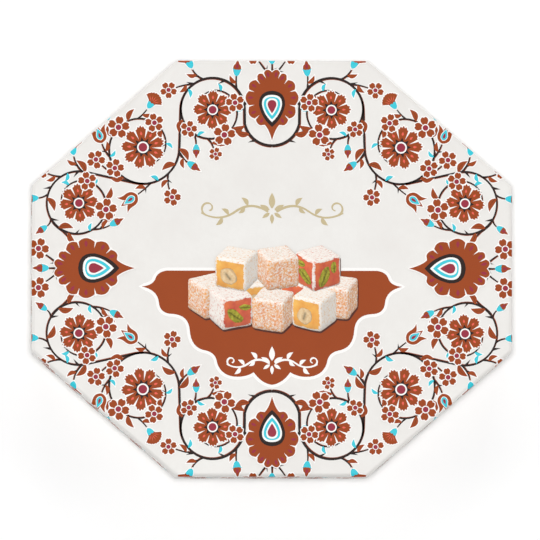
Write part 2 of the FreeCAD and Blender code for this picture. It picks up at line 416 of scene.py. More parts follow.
def nut_finish(name, colour, deep, printed):
    """The cut kernel of a nut, mottled, with rags of its skin."""
    made = Finish(name, "source", Specular_IOR_Level=0.1 if printed else 0.4)
    mottle = made.noise(1.6, 4, 0.6)
    skin = made.noise(0.7, 4, 0.7)
    tone = made.fade(mottle, 0.35, 0.65, ink(*deep), ink(*colour))
    tone = made.fade(skin, 0.55, 0.75, tone, ink(*deep), 0.35)
    relief = None if printed else made.bump(mottle, 0.25, 0.5)
    return made.finish(made.shaded(tone), made.spread(skin, 0.3, 0.7, 0.4, 0.6), relief)


def flake_finish(name, printed):
    """Dry grated coconut."""
    made = Finish(name, "source", Specular_IOR_Level=0.3)
    mottle = made.noise(1.1, 4, 0.7)
    tone = made.fade(mottle, 0.35, 0.7, ink(238, 222, 196), ink(253, 250, 244))
    relief = None if printed else made.bump(mottle, 0.1, 0.5)
    return made.finish(made.shaded(tone), made.spread(mottle, 0.3, 0.7, 0.6, 0.8), relief)


def clear_plastic_finish():
    """Thin formed sheet: clear, glossy and a little uneven."""
    made = Finish("clear_plastic", Alpha=0.3, Specular_IOR_Level=0.7, Coat_Weight=0.5, Coat_Roughness=0.06)
    haze = made.noise(2.2, 4, 0.6)
    tone = made.fade(haze, 0.3, 0.7, ink(232, 238, 241), ink(250, 252, 253))
    flow = made.bump(made.noise(14, 3, 0.5), 0.25, 0.5)
    return made.finish(tone, made.spread(haze, 0.3, 0.7, 0.08, 0.2), flow)


def glassine_finish():
    """Thin smooth paper that lets light through, with a few creases."""
    made = Finish("glassine", Alpha=0.82, Specular_IOR_Level=0.5, Coat_Weight=0.25, Coat_Roughness=0.25)
    fibre = made.noise(1.6, 5, 0.7, stretch=(1.0, 0.3, 1.0))
    crease = made.cells(26, "DISTANCE_TO_EDGE", 1.0)
    tone = made.fade(fibre, 0.3, 0.7, ink(226, 222, 210), ink(246, 244, 236))
    tone = made.mix(made.spread(crease, 0.0, 0.03, 0.35, 0.0), tone, ink(252, 252, 250))
    relief = made.bump(fibre, 0.03, 0.5, made.bump(made.spread(crease, 0.0, 0.06), 0.25, 0.5))
    return made.finish(tone, made.spread(fibre, 0.3, 0.7, 0.3, 0.45), relief)


def pad_paper_finish():
    """White crepe paper with a fine woven emboss."""
    made = Finish("pad_paper", Specular_IOR_Level=0.25, Sheen_Weight=0.15, Sheen_Roughness=0.5)
    dots = made.cells(1.1, "F1", 0.0)
    fibre = made.noise(0.8, 5, 0.7, stretch=(1.0, 0.4, 1.0))
    tone = made.fade(made.noise(17, 3, 0.6), 0.35, 0.65, ink(226, 221, 212), ink(237, 233, 226))
    # Painted shade: darker between the raised dots of the emboss, then the pad's painted shade from its mesh
    tone = made.shaded(made.fade(dots, 0.25, 0.5, tone, ink(222, 214, 202), 0.3))
    relief = made.bump(made.spread(dots, 0.2, 0.55, 1.0, 0.0), 0.12, 0.8, made.bump(fibre, 0.06, 0.6))
    return made.finish(tone, made.spread(fibre, 0.3, 0.7, 0.7, 0.85), relief)


def floor_finish():
    made = Finish("studio_floor", Specular_IOR_Level=0.1)
    tone = made.fade(made.noise(400, 2, 0.5), 0.3, 0.7, ink(252, 252, 252), ink(255, 255, 255))
    return made.finish(tone, 0.9)


# Pressing the print: ink stands a little proud of the board, level by level
INK_STEP = 0.014
# Shapes of one level step up by this in cycles, so that neighbours rarely share a height
INK_SHUFFLE = 0.002
SHUFFLE_COUNT, PICTURE_SHUFFLE_COUNT = 6, 5
INK_SINK = 0.02
SLICE_DISTANCE = 1e-5
# How many levels one layer of motifs takes up
LAYER = 8
INK_SHARP = 20
fold_sides = sides_at(FOLD_RADIUS)
fold_run = FOLD_RADIUS * math.pi / 2
wall_reach = fold_run + (lid_high.z - lid_low.z) - FOLD_RADIUS - WALL / 2
corner_gap = SOFT_CORNER * math.tan(math.pi / 8)


def slice_work(work, place, normal, drop_outer=False):
    """Cut a bmesh along an upright plane, and drop what lies beyond it if asked."""
    geometry = work.verts[:] + work.edges[:] + work.faces[:]
    bmesh.ops.bisect_plane(work, geom=geometry, dist=SLICE_DISTANCE, plane_co=at_height(place, 0),
                           plane_no=at_height(normal, 0), clear_outer=drop_outer)


def flat_print(shapes):
    """The shapes as faces, each at the height of its level and a hair apart from the next."""
    work = bmesh.new()
    for number, (level, points) in enumerate(shapes):
        height = INK_STEP * (level + 1) + INK_SHUFFLE * (number % SHUFFLE_COUNT)
        work.faces.new([work.verts.new(at_height(point, height)) for point in points])
    work.normal_update()
    return work


def skirted(work):
    """Carry the edges of the ink down into the board."""
    edges = [edge for edge in work.edges if edge.is_boundary]
    for item in bmesh.ops.extrude_edge_only(work, edges=edges)["geom"]:
        if isinstance(item, bmesh.types.BMVert):
            item.co.z = -INK_SINK
    return work


def bent_over(work, side):
    """Take flat print beyond a wall's fold round the fold and down the wall."""
    for vert in work.verts:
        run, beyond = from_side(complex(vert.co.x, vert.co.y), side)
        angle = min(beyond / FOLD_RADIUS, math.pi / 2)
        radius = FOLD_RADIUS + vert.co.z
        drop = FOLD_RADIUS - radius * math.cos(angle) + max(0.0, beyond - fold_run)
        place = side.start + side.along * run + side.outward * radius * math.sin(angle)
        vert.co = at_height(place, lid_high.z - drop)


def pressed(name, shapes, wall_shapes):
    """A mesh of one ink: what lies on the panel, and what bends over onto each wall."""
    inside, crossing = [], []
    for level, points in shapes:
        edge = max(from_side(point, side)[1] for side in fold_sides for point in points)
        (inside if edge < 0 else crossing).append((level, points))
    whole = skirted(flat_print(inside))
    cut = flat_print(crossing)
    for side in fold_sides:
        slice_work(cut, side.start, side.outward, True)
    parts = [skirted(cut)]
    for vert in whole.verts[:] + cut.verts[:]:
        vert.co.z += lid_high.z
    for side, extra in zip(fold_sides, wall_shapes):
        near = [(level, points) for level, points in crossing
                if max(from_side(point, side)[1] for point in points) > 0]
        strip = flat_print(near + extra)
        for place, normal in ((0, -side.outward), (side.outward * wall_reach, side.outward),
                              (side.along * corner_gap, -side.along),
                              (side.along * (side.length - corner_gap), side.along)):
            slice_work(strip, side.start + place, normal, True)
        for angle in FOLD_ANGLES[1:]:
            slice_work(strip, side.start + side.outward * FOLD_RADIUS * angle, side.outward)
        bent_over(skirted(strip), side)
        parts.append(strip)
    return mesh_from_work(name, whole, parts)


# The ornament. Flat shapes are lists of complex numbers in millimetres.
# A drawn shape is (ink, level, outline); a motif is a list of drawn shapes.
# Levels go up from the board, and a layer of motifs lies over all the levels below it.
KEY, TWIG, PETAL, INLAY, ACCENT = range(5)
KEYLINE = 0.4
# Copper shows a little beside each dark stem, from just below its level
UNDER_TWIG = TWIG - 0.8
TWIG_EDGE = 0.2 - 0.22j
# How sharp a tip may be before the line round it is held short, and what counts as a loop in it
LEAST_NORMAL = 0.7
LOOP_SHARE = 0.88
SAME_POINT = 1e-9
# Points for each radian of an arc, and how a spiral closes in
ARC_RATE = 8
SPIRAL_POWER = 1.4
# Widths of stems and lengths of leaves
WAVE_WIDTH, RING_WIDTH, BRANCH_WIDTH, GARLAND_WIDTH, TWIG_WIDTH = 1.25, 0.95, 0.85, 0.9, 0.6
WAVE_LEAF, RING_LEAF, BRANCH_LEAF = 6.6, 6.0, 4.6
STEM_TAPER = 0.45
# Leaves: size of a small one, width and bend as shares of the length, angles to the stem,
# which of every five are small, and the width from which a leaf has a midrib
SMALL_LEAF, LEAF_WIDTH, LEAF_BEND = 0.6, 0.4, 0.15
LEAF_ANGLE, SMALL_LEAF_ANGLE = 0.65, 0.9
LEAF_CYCLE, SMALL_LEAVES = 5, (1, 4)
RIB_FROM_WIDTH = 2.4
# Side stems
BRANCH_ANGLE = 0.6
BRANCH_STEPS = 10
BRANCH_LEAF_SHARES = (0.4, 0.75)
THORN_FROM_REACH = 6


def moved(shapes, at=0, angle=0.0, size=1.0):
    """The motif turned, resized and carried to its place."""
    spin = size * cmath.exp(1j * angle)
    return [(tint, level, [at + spin * p for p in points]) for tint, level, points in shapes]


def flipped(shapes, across_x, across_y):
    """The motif mirrored to the left, to the bottom, or both."""
    result = []
    for tint, level, points in shapes:
        points = [complex(-p.real, p.imag) if across_x else p for p in points]
        points = [p.conjugate() for p in points] if across_y else points
        result.append((tint, level, points[::-1] if across_x != across_y else points))
    return result


def lifted(shapes, layers):
    """The motif drawn over everything in the layers below it."""
    return [(tint, level + LAYER * layers, points) for tint, level, points in shapes]


def sweep(anchors, steps=6):
    """Points along quadratic arcs; anchors alternate on-curve points and control points."""
    points = []
    for index in range(0, len(anchors) - 2, 2):
        first, pull, last = anchors[index:index + 3]
        for step in range(steps):
            t = step / steps
            points.append(first * (1 - t) ** 2 + 2 * pull * t * (1 - t) + last * t * t)
    return points + [anchors[-1]]


def arc(centre, first, last, start, end):
    """Points round part of a circle, or along a spiral from one radius to another."""
    steps = round(ARC_RATE * abs(end - start)) + 2
    return [centre + (first + (last - first) * (k / steps) ** SPIRAL_POWER)
            * cmath.exp(1j * (start + (end - start) * k / steps)) for k in range(steps + 1)]


def doubled(half):
    """A closed outline from its upper half, which runs from base to tip along the x axis."""
    return [p.conjugate() for p in half] + half[-2:0:-1]


def grown(points, distance):
    """An outline moved outwards along its own normals, with sharp tips held short."""
    result = []
    for index, point in enumerate(points):
        before = point - points[index - 1]
        after = points[(index + 1) % len(points)] - point
        if min(abs(before), abs(after)) < SAME_POINT:
            result.append(point)
            continue
        normal = -1j * (unit(before) + unit(after))
        length = max(abs(normal), LEAST_NORMAL)
        result.append(point + distance * normal * 2 / length ** 2 * min(1, length))
    # What comes too close to the outline again lies in a loop of its own, and is left out
    return [made for made in result if min(abs(made - point) for point in points) >= LOOP_SHARE * distance]


def area(points):
    pairs = zip(points, points[1:] + points[:1])
    return sum(a.real * b.imag - b.real * a.imag for a, b in pairs) / 2


def anticlockwise(points):
    return points if area(points) > 0 else points[::-1]


def keyed(points, tint="copper"):
    """The main outline of a motif, on the white line that stands round it."""
    return [("white", KEY, grown(points, KEYLINE)), (tint, PETAL, points)]


def inlaid(tint, level, size, *anchors):
    """A drawn shape from the arcs of its upper half, as shares of the motif's size."""
    return (tint, level, [size * p for p in doubled(sweep(anchors))])


def disc(tint, level, radius, count=20):
    return (tint, level, [radius * cmath.exp(1j * FULL_TURN * step / count) for step in range(count)])


def petalled(reach, petals, count):
    """A closed outline whose reach depends on the place across a petal, from -0.5 to 0.5."""
    points = []
    for step in range(petals * count):
        angle = FULL_TURN * step / (petals * count)
        phase = (angle * petals / FULL_TURN + 0.5) % 1 - 0.5
        points.append(reach(phase) * cmath.exp(1j * angle))
    return points


def repeated(tint, level, radius, petals, offset, points):
    """A small shape repeated round a flower, given as shares of its radius."""
    ways = [cmath.exp(1j * FULL_TURN * (petal + offset) / petals) for petal in range(petals)]
    return [(tint, level, [radius * p * way for p in points]) for way in ways]


def rosette(radius, petals=8):
    """A wide flower with toothed petals, a dark star and a ringed centre."""
    def rim(phase):
        swell = 0.66 + 0.3 * math.cos(math.pi * phase) ** 0.55
        return radius * (swell + 0.05 * math.cos(5 * FULL_TURN * phase) * (1 - abs(phase)))

    def star(phase):
        return radius * (0.3 + 0.17 * (1 - 2 * abs(phase)) ** 2)

    shapes = keyed(petalled(rim, petals, 20))
    shapes += repeated("white", INLAY, radius, petals, 0.5, (0.4, 0.86 - 0.055j, 0.86 + 0.055j))
    shapes.append(("brown", INLAY + 1, petalled(star, petals, 6)))
    shapes += [disc("white", ACCENT + 1, radius * 0.27), disc("crimson", ACCENT + 2, radius * 0.2)]
    return shapes + repeated("coral", INLAY, radius, petals, 0,
                             (0.74, 0.63 + 0.055j, 0.56 + 0.03j, 0.56 - 0.03j, 0.63 - 0.055j))


def blossom(radius):
    """A small open flower with round, cleft petals that stand apart."""
    def rim(phase):
        notch = 0.12 * math.exp(-(phase / 0.07) ** 2)
        return radius * (0.42 + 0.58 * math.cos(math.pi * phase) ** 0.6 - notch)

    shapes = keyed(petalled(rim, 5, 16))
    shapes += repeated("white", INLAY, radius, 5, 0.5, (0.24, 0.86 - 0.1j, 0.86 + 0.1j))
    shapes.append(disc("white", ACCENT, radius * 0.34, 16))
    return shapes + [disc("crimson", ACCENT + 1, radius * 0.25, 14)]


def side_blossom(size):
    """A blossom that stands on the end of its stem."""
    return moved(blossom(size * 0.5), size * 0.45)


def tulip(size):
    """A three-pointed tulip on its side, base at the origin and tip along +x."""
    rim = sweep([0, 0.1 + 0.42j, 0.5 + 0.4j, 0.8 + 0.36j, 1.0 + 0.52j, 0.84 + 0.2j, 0.72 + 0.15j,
                 0.9 + 0.1j, 1.08 + 0j])
    core = [0.2, 0.26 + 0.2j, 0.5 + 0.17j, 0.7 + 0.1j, 0.86]
    edge = grown(anticlockwise(doubled(sweep(core))), 0.035)
    edge = sorted([p for p in edge if p.imag >= -1e-6], key=lambda p: p.real)
    return keyed([size * p for p in doubled(rim)]) + [
        ("white", INLAY, [size * p for p in doubled(edge)]),
        inlaid("turquoise", ACCENT, size, *core),
        inlaid("crimson", ACCENT + 1, size, 0.3, 0.34 + 0.09j, 0.48 + 0.07j, 0.56 + 0.04j, 0.66),
    ]


def bud(size):
    """A closed bud: two copper sepals round a crimson tip, on a turquoise cup."""
    rim = sweep([0, 0.02 + 0.2j, 0.3 + 0.24j, 0.62 + 0.28j, 0.7 + 0.12j, 0.8 + 0.1j, 1 + 0j])
    return keyed([size * p for p in doubled(rim)]) + [
        inlaid("turquoise", INLAY, size, -0.06, -0.02 + 0.17j, 0.2 + 0.2j, 0.34 + 0.24j, 0.42 + 0.3j,
               0.3 + 0.08j, 0.36 + 0j),
        inlaid("crimson", INLAY, size, 0.42, 0.46 + 0.1j, 0.58 + 0.09j, 0.68 + 0.05j, 0.76),
    ]


def carnation(size):
    """A fan-shaped flower with a toothed rim over a narrow cup."""
    points = sweep([0.42 + 0.2j, 0.2 + 0.2j, 0, 0.2 - 0.2j, 0.42 - 0.2j])
    teeth = 9
    for step in range(teeth * 4 + 1):
        turn = math.radians(-62 + 124 * step / (teeth * 4))
        tooth = 0.07 * abs(((step / 4) % 1) - 0.5)
        points.append(0.34 + (0.62 + tooth) * cmath.exp(1j * turn) * (1 - 0.1 * abs(turn)))
    shapes = keyed(anticlockwise([size * p for p in points]))
    for step in range(5):
        way = cmath.exp(1j * math.radians(-44 + 22 * step))
        ray = [0.44, 0.62 + 0.018j, 0.82, 0.62 - 0.018j]
        shapes.append(("coral", INLAY, [size * (0.34 + (p - 0.34) * way) for p in ray]))
    return shapes + [inlaid("turquoise", INLAY, size, 0.02, 0.06 + 0.17j, 0.36 + 0.19j, 0.44 + 0.08j, 0.34)]


FLOWERS = {"tulip": tulip, "carnation": carnation, "blossom": side_blossom, "bud": bud}


def spine(length, bend, share):
    """A point on the middle line of a leaf that curves to one side."""
    return complex(length * share, bend * length * 4 * (share - share * share))


def blade(length, width, bend, steps, lean, fullness):
    """The outline of a pointed leaf, base at the origin and tip along +x."""
    upper, lower = [], []
    for share in [step / steps for step in range(steps + 1)]:
        half = 1j * width / 2 * math.sin(math.pi * share ** lean) ** fullness
        upper.append(spine(length, bend, share) + half)
        lower.append(spine(length, bend, share) - half)
    return anticlockwise(upper + lower[-2:0:-1])


def leaf(length, width, bend, tint):
    """A pointed leaf, with a slim midrib if it is wide enough."""
    shapes = keyed(blade(length, width, bend, 14, 0.8, 0.9), tint)
    if width > RIB_FROM_WIDTH:
        shares = [0.12 + 0.7 * step / 8 for step in range(9)]
        rib = [spine(length, bend, share) + 0.035j * width * (1 - share) for share in shares]
        rib += [spine(length, bend, share) - 0.035j * width * (1 - share) for share in shares[::-1]]
        shapes.append(("brown" if tint == "copper" else "white", INLAY, rib))
    return shapes


def plain_leaf(length, width, bend, tint):
    """A small leaf drawn on top of a motif, with no line round it."""
    return [(tint, ACCENT, blade(length, width, bend, 12, 0.85, 1))]


def stem(line, width, thorns):
    """A tapering dark stem along a line of points, with a few short thorns."""
    left, right = [], []
    count = len(line)
    for index, point in enumerate(line):
        ahead = line[min(index + 1, count - 1)] - line[max(index - 1, 0)]
        side = 1j * unit(ahead) * width / 2 * (1 - STEM_TAPER * index / (count - 1))
        left.append(point + side)
        right.append(point - side)
    points = anticlockwise(right + left[::-1])
    shapes = [("brown", TWIG, points), ("copper", UNDER_TWIG, [p + TWIG_EDGE for p in points])]
    for number in range(thorns):
        index = min(max(int((number + 0.7) * count / (thorns + 0.6)), 1), count - 2)
        way = width * unit(line[index + 1] - line[index - 1])
        side = 1j * way * (1 if number % 2 else -1)
        thorn = [line[index] + p for p in (-0.7 * way, 0.7 * way, 1.8 * way + 2.2 * side)]
        shapes.append(("brown", TWIG, anticlockwise(thorn)))
    return shapes


def palmette(size):
    """The large motif on an axis, base at the origin and tip along +x, with a scalloped rim."""
    lobes = 6
    lobed_share = 0.8
    guide = sweep([0, 0.13j, 0.1 + 0.2j, 0.2 + 0.36j, 0.43 + 0.34j, 0.68 + 0.31j, 0.74 + 0.14j,
                   0.8 + 0.05j, 1 + 0j], 15)
    scalloped = lobed_share * (len(guide) - 1)
    half, outwards = [], []
    for index, place in enumerate(guide):
        outwards.append(1j * unit(guide[min(index + 1, len(guide) - 1)] - guide[max(index - 1, 0)]))
        swell = abs(math.sin(math.pi * lobes * index / scalloped)) if index < scalloped else 0
        half.append(place + outwards[-1] * 0.045 * swell)
    shapes = keyed([size * p for p in doubled(half)])
    for lobe in range(1, 2 * lobes):
        index = round(lobe * scalloped / (2 * lobes))
        place, outward = guide[index], outwards[index]
        if lobe % 2:
            mark = plain_leaf(0.085, 0.04, 0.0, "crimson")
            mark = moved(mark, place + 0.012 * outward, cmath.phase(-outward))
        else:
            wedge = (0.03 + 0.014j, -0.075, 0.03 - 0.014j)
            mark = [("white", ACCENT, [place + outward * p for p in wedge])]
        mark = moved(mark, 0, 0.0, size)
        shapes += mark + flipped(mark, False, True)
    drops = (
        ("brown", 0.27, 0.28 + 0.2j, 0.48 + 0.19j, 0.68 + 0.15j, 0.8),
        ("white", 0.33, 0.33 + 0.16j, 0.48 + 0.145j, 0.62 + 0.12j, 0.73),
        ("turquoise", 0.36, 0.36 + 0.13j, 0.48 + 0.12j, 0.6 + 0.1j, 0.69),
        ("white", 0.38, 0.38 + 0.095j, 0.48 + 0.085j, 0.57 + 0.06j, 0.635),
        ("crimson", 0.405, 0.41 + 0.07j, 0.485 + 0.063j, 0.55 + 0.04j, 0.6),
    )
    return shapes + [inlaid(tint, ACCENT + 1 + level, size, *anchors)
                     for level, (tint, *anchors) in enumerate(drops)]


def station(line, share):
    """The number of the point at a share of a line's length, never its first or last."""
    steps = [abs(after - before) for before, after in zip(line, line[1:])]
    goal = share * sum(steps)
    index = 0
    while index < len(steps) and goal > 0:
        goal -= steps[index]
        index += 1
    return min(max(index, 1), len(line) - 2)


def leafy(line, shares, length, sides):
    """Leaves along a stem at shares of its length, each to its own side; small ones are turquoise."""
    shapes = []
    for number, (share, side) in enumerate(zip(shares, sides)):
        index = station(line, share)
        way = line[index + 1] - line[index - 1]
        small = number % LEAF_CYCLE in SMALL_LEAVES
        size = length * (SMALL_LEAF if small else 1)
        angle = cmath.phase(way) + (SMALL_LEAF_ANGLE if small else LEAF_ANGLE) * side
        drawn = leaf(size, size * LEAF_WIDTH, LEAF_BEND * side, "turquoise" if small else "copper")
        shapes += moved(drawn, line[index], angle)
    return shapes


def branch(line, share, side, reach, curl, kind, size, leaves):
    """A side stem that leaves a stem at a share of its length, curls, and ends in a flower."""
    index = station(line, share)
    heading = unit(line[index + 1] - line[index - 1]) * cmath.exp(1j * BRANCH_ANGLE * side)
    points = [line[index]]
    for _ in range(BRANCH_STEPS):
        heading *= cmath.exp(1j * side * curl / BRANCH_STEPS)
        points.append(points[-1] + heading * reach / BRANCH_STEPS)
    shapes = stem(points, BRANCH_WIDTH, 1 if reach > THORN_FROM_REACH else 0)
    shapes += leafy(points, BRANCH_LEAF_SHARES[:leaves], BRANCH_LEAF, [-side, side])
    return shapes + lifted(moved(FLOWERS[kind](size), points[-1], cmath.phase(heading)), 1)


# The running scroll of one quarter: the rings that its wave swings round, each with its rosette
RINGS = ((26 + 69.5j, 14), (56.5 + 53j, 16), (84.5 + 28.5j, 14))
ROSETTES = ((8.6, 8), (9.6, 9), (8.6, 8))
WAVE_START, WAVE_END = math.radians(178), math.radians(-50)
# The wave comes out of a cradle below the top motif and runs out in a tail
CRADLE_CENTRE, CRADLE_RADIUS, CRADLE_END = 66j, 12.2, math.radians(-12)
WAVE_TAIL = (88 + 14j, 86 + 8j)
# A spiral starts a little before the wave leaves its ring, and winds in to its rosette
SPIRAL_LEAD, SPIRAL_TURN, SPIRAL_END = 0.25, 1.72 * math.pi, 0.86
WAVE_LEAF_SHARES = (0.06, 0.3, 0.38, 0.49, 0.545, 0.63, 0.77, 0.85, 0.93)
WAVE_LEAF_SIDES = (-1, -1, -1, 1, 1, 1, -1, -1, -1)
RING_LEAF_SHARES = (0.12, 0.28, 0.39, 0.53, 0.66, 0.76, 0.85)
RING_LEAF_SIDES = (-1, 1, -1, -1, -1, 1, -1)
# Blossoms on each spiral: share of its length and size
RING_BLOOMS = (((0.2, 3.8), (0.47, 5.0), (0.71, 4.2)), ((0.2, 4.2), (0.47, 5.0), (0.71, 4.2)),
               ((0.47, 5.0), (0.71, 4.2)))
# Side stems: share of the stem's length, side, reach, curl, flower, size, leaves
WAVE_BRANCHES = (
    (0.17, 1, 6, 0.2, "bud", 7.0, 1),
    (0.26, 1, 7, 0.8, "carnation", 8.6, 1),
    (0.285, 1, 8, -0.3, "blossom", 7.6, 1),
    (0.46, -1, 6, 0.5, "bud", 6.6, 1),
    (0.52, -1, 7, 0.5, "blossom", 8.0, 1),
    (0.565, -1, 8, -0.2, "tulip", 8.0, 1),
    (0.735, 1, 8, 0.7, "carnation", 8.6, 1),
    (0.785, 1, 6, 0.4, "blossom", 7.4, 1),
    (0.84, 1, 5, 0.6, "bud", 6.4, 0),
    (0.9, 1, 4, 0.9, "bud", 5.8, 0),
)
RING_BRANCHES = (
    ((0.25, 1, 5, 0.4, "bud", 6.0, 0), (0.34, 1, 5, 0.6, "blossom", 6.0, 1)),
    ((0.14, -1, 9, -0.6, "blossom", 8.4, 1), (0.26, -1, 7, -0.5, "tulip", 7.6, 1),
     (0.42, -1, 7, 0.5, "bud", 7.0, 1), (0.6, -1, 6, 0.3, "carnation", 8.0, 1)),
    ((0.29, 1, 8, -0.5, "bud", 6.4, 1),),
)


def leaving(here, there, way):
    """The angle at which a stem that turns round one ring leaves it for the next one."""
    gap = there[0] - here[0]
    return cmath.phase(gap) - way * math.acos((here[1] + there[1]) / abs(gap))


def running_scroll():
    """One wave that swings round each ring in turn, and where a spiral leaves it into each ring."""
    wave, spirals = [], []
    angle, way = WAVE_START, -1
    for index, (centre, radius) in enumerate(RINGS):
        leave = WAVE_END if index == len(RINGS) - 1 else leaving(RINGS[index], RINGS[index + 1], way)
        leave = angle + way * (((leave - angle) * way) % FULL_TURN)
        wave += arc(centre, radius, radius, angle, leave)
        spirals.append((leave, way))
        angle = leave + math.pi
        way = -way
    return wave, spirals


def quadrant():
    """The ornament of the upper right quarter of the lid; the other three mirror it."""
    wave, spirals = running_scroll()
    cradle = arc(CRADLE_CENTRE, CRADLE_RADIUS, CRADLE_RADIUS, -math.pi / 2, CRADLE_END)
    wave = cradle + wave + sweep([wave[-1], *WAVE_TAIL], 5)[1:]
    shapes = stem(wave, WAVE_WIDTH, 9) + leafy(wave, WAVE_LEAF_SHARES, WAVE_LEAF, WAVE_LEAF_SIDES)
    for entry in WAVE_BRANCHES:
        shapes += branch(wave, *entry)
    for (centre, radius), (size, petals), (leave, way), blooms, entries in zip(
            RINGS, ROSETTES, spirals, RING_BLOOMS, RING_BRANCHES):
        line = arc(centre, radius, size * SPIRAL_END, leave - SPIRAL_LEAD * way,
                   leave + SPIRAL_TURN * way)
        shapes += stem(line, RING_WIDTH, 4)
        shapes += leafy(line, RING_LEAF_SHARES, RING_LEAF, [side * way for side in RING_LEAF_SIDES])
        shapes += lifted(moved(rosette(size, petals), centre, leave), 1)
        for share, bloom in blooms:
            shapes += lifted(moved(blossom(bloom), line[station(line, share)], share * 9), 2)
        for entry in entries:
            shapes += branch(line, *entry)
    return shapes


def posy():
    """Three short stems fanned out from one point: blossoms on the outer two, a bud between."""
    shapes = []
    for turn, reach, kind, size in ((0.7, 9, "blossom", 9.6), (-0.7, 9, "blossom", 9.6), (0.0, 6, "bud", 7)):
        line = [reach * k / 8 * cmath.exp(1j * turn * (1.2 - 0.2 * k / 8)) for k in range(9)]
        shapes += stem(line, 1.0, 1)
        shapes += lifted(moved(FLOWERS[kind](size), line[-1], turn), 1)
    return shapes


def flourish(width, tint):
    """A level ornament of two mirrored tendrils and small leaves, for the bare centre."""
    shapes = []
    half = width / 2
    tendril = sweep([half * p for p in (0.06, 0.3 + 0.16j, 0.52, 0.74 - 0.16j, 1 - 0.02j)], 10)
    curl = arc(half * (0.9 + 0.045j), 0.1 * half, 0.03 * half, -1.2, 4.4)
    for side in (1, -1):
        for path, ink_width in ((tendril, 0.9), (curl, 0.7)):
            run = [complex(side * p.real, p.imag) for p in path]
            shapes += [(tint, INLAY, points) for _, _, points in stem(run, ink_width, 0)]
        for at, angle, size in ((0.3, 0.9, 4.6), (0.36, -0.8, 4.0), (0.62, 0.7, 4.2), (0.7, -0.9, 4.6)):
            root = tendril[int(at * (len(tendril) - 1))]
            leaf_shape = plain_leaf(size, size * 0.42, math.copysign(0.16, angle) * side, tint)
            shapes += moved(leaf_shape, complex(side * root.real, root.imag),
                            angle if side > 0 else math.pi - angle)
    for angle, size in ((0.5, 4.8), (math.pi - 0.5, 4.8), (math.pi / 2, 7.0), (-math.pi / 2, 4.4),
                        (-0.6, 4.0), (math.pi + 0.6, 4.0)):
        shapes += moved(plain_leaf(size, size * 0.4, 0.0, tint), 1.2 * cmath.exp(1j * angle), angle)
    return shapes


def cartouche(grow):
    """The scalloped field on the lower half: a straight top, pointed ends and hanging lobes."""
    half = sweep([-1j, 24 - 1j, 46 - 1j, 50 - 1.5j, 51 - 4.5j, 52 - 7.5j, 57 - 8j, 50 - 9.5j,
                  49.5 - 15j, 49 - 20j, 43.5 - 20j, 36.5 - 20.5j, 36 - 27j, 35.5 - 35j, 29 - 36j,
                  24.5 - 37j, 24 - 41.5j, 22 - 47.5j, 15 - 47.5j, 11 - 47.5j, 8 - 45.5j, 4.5 - 50.5j,
                  -51j], 8)
    return grown(anticlockwise(half + [complex(-p.real, p.imag) for p in half[-2:0:-1]]), grow)


# Motifs on the axes: length, place and angle of the palmette, place and angle of its posy
TOP_MOTIF = (30, 86j, -math.pi / 2, 84j, math.pi / 2)
SIDE_MOTIF = (34, 94, math.pi, 92, 0)
# The field's white line, and each flourish: width, ink, place and size
FIELD_KEYLINE = 1.3
FLOURISHES = ((62, "gold", 25j, 1.0), (44, "white", -41.5j, 0.9))


def axis_motif(length, place, angle, posy_place, posy_angle):
    """A palmette that points to the middle, and a posy behind it that points outwards."""
    return lifted(moved(palmette(length), place, angle), 3) + moved(posy(), posy_place, posy_angle)


def panel_print():
    """Everything printed on the top: the border, mirrored both ways, and the field below the middle."""
    shapes = []
    corner = quadrant()
    for across_x in (False, True):
        for across_y in (False, True):
            shapes += flipped(corner, across_x, across_y)
    top = axis_motif(*TOP_MOTIF)
    right = axis_motif(*SIDE_MOTIF)
    for across in (False, True):
        shapes += flipped(top, False, across)
        shapes += flipped(right, across, False)
    shapes += [("white", KEY, cartouche(FIELD_KEYLINE)), ("copper", PETAL, cartouche(0.0))]
    for width, tint, place, size in FLOURISHES:
        shapes += moved(flourish(width, tint), place, 0.0, size)
    return shapes


# Garlands on the walls: their waves, then the sizes of their flowers and how far out these stand
GARLAND_WAVE = 26.0
GARLAND_DROP = 15.0
GARLAND_SWING = 3.2
GARLAND_END_GAP = 3.5
GARLAND_STEPS = 16
GARLAND_BLOSSOM = 3.9
GARLAND_ROSETTE = (4.3, 7)
GARLAND_REACH = 4.6


def wall_garland(length):
    """A waving stem for one wall, whose fold is the x axis: a flower in each bay, leaves outside."""
    waves = round(length / GARLAND_WAVE)
    line = []
    for step in range(waves * GARLAND_STEPS + 1):
        share = step / (waves * GARLAND_STEPS)
        rise = GARLAND_SWING * math.sin(FULL_TURN * waves * share)
        line.append(complex(GARLAND_END_GAP + (length - 2 * GARLAND_END_GAP) * share, rise - GARLAND_DROP))
    shapes = stem(line, GARLAND_WIDTH, 2 * waves)
    for number in range(2 * waves):
        share = (number + 0.5) / (2 * waves)
        index = round(share * (len(line) - 1))
        at = line[index]
        side = -1 if number % 2 else 1
        shapes += stem([line[index - 2], at - 0.6j * side, at - 1.6j * side], TWIG_WIDTH, 0)
        flower = blossom(GARLAND_BLOSSOM) if number % 2 else rosette(*GARLAND_ROSETTE)
        shapes += lifted(moved(flower, at - 1j * GARLAND_REACH * side, number), 1)
        shapes += leafy(line, [share - 0.05 / waves, share + 0.06 / waves], BRANCH_LEAF, [side, side])
    return shapes


def print_lid():
    """Every ink of the lid: what lies on the panel, and a garland on each wall."""
    panel = panel_print()
    garlands = [moved(wall_garland(side.length), side.start, cmath.phase(side.along))
                for side in fold_sides]
    for name, finish in ink_finishes.items():
        own, *walls = [[(level, points) for tint, level, points in shapes if tint == name]
                       for shapes in [panel] + garlands]
        show(pressed("print_" + name, own, walls), [finish], INK_SHARP, "lid")


# Sweets: soft cubes with cut faces, nuts in them and sugar or coconut outside
GRID = 17
SWEET_ROUND = 0.24
SWEET_SHARP = 50
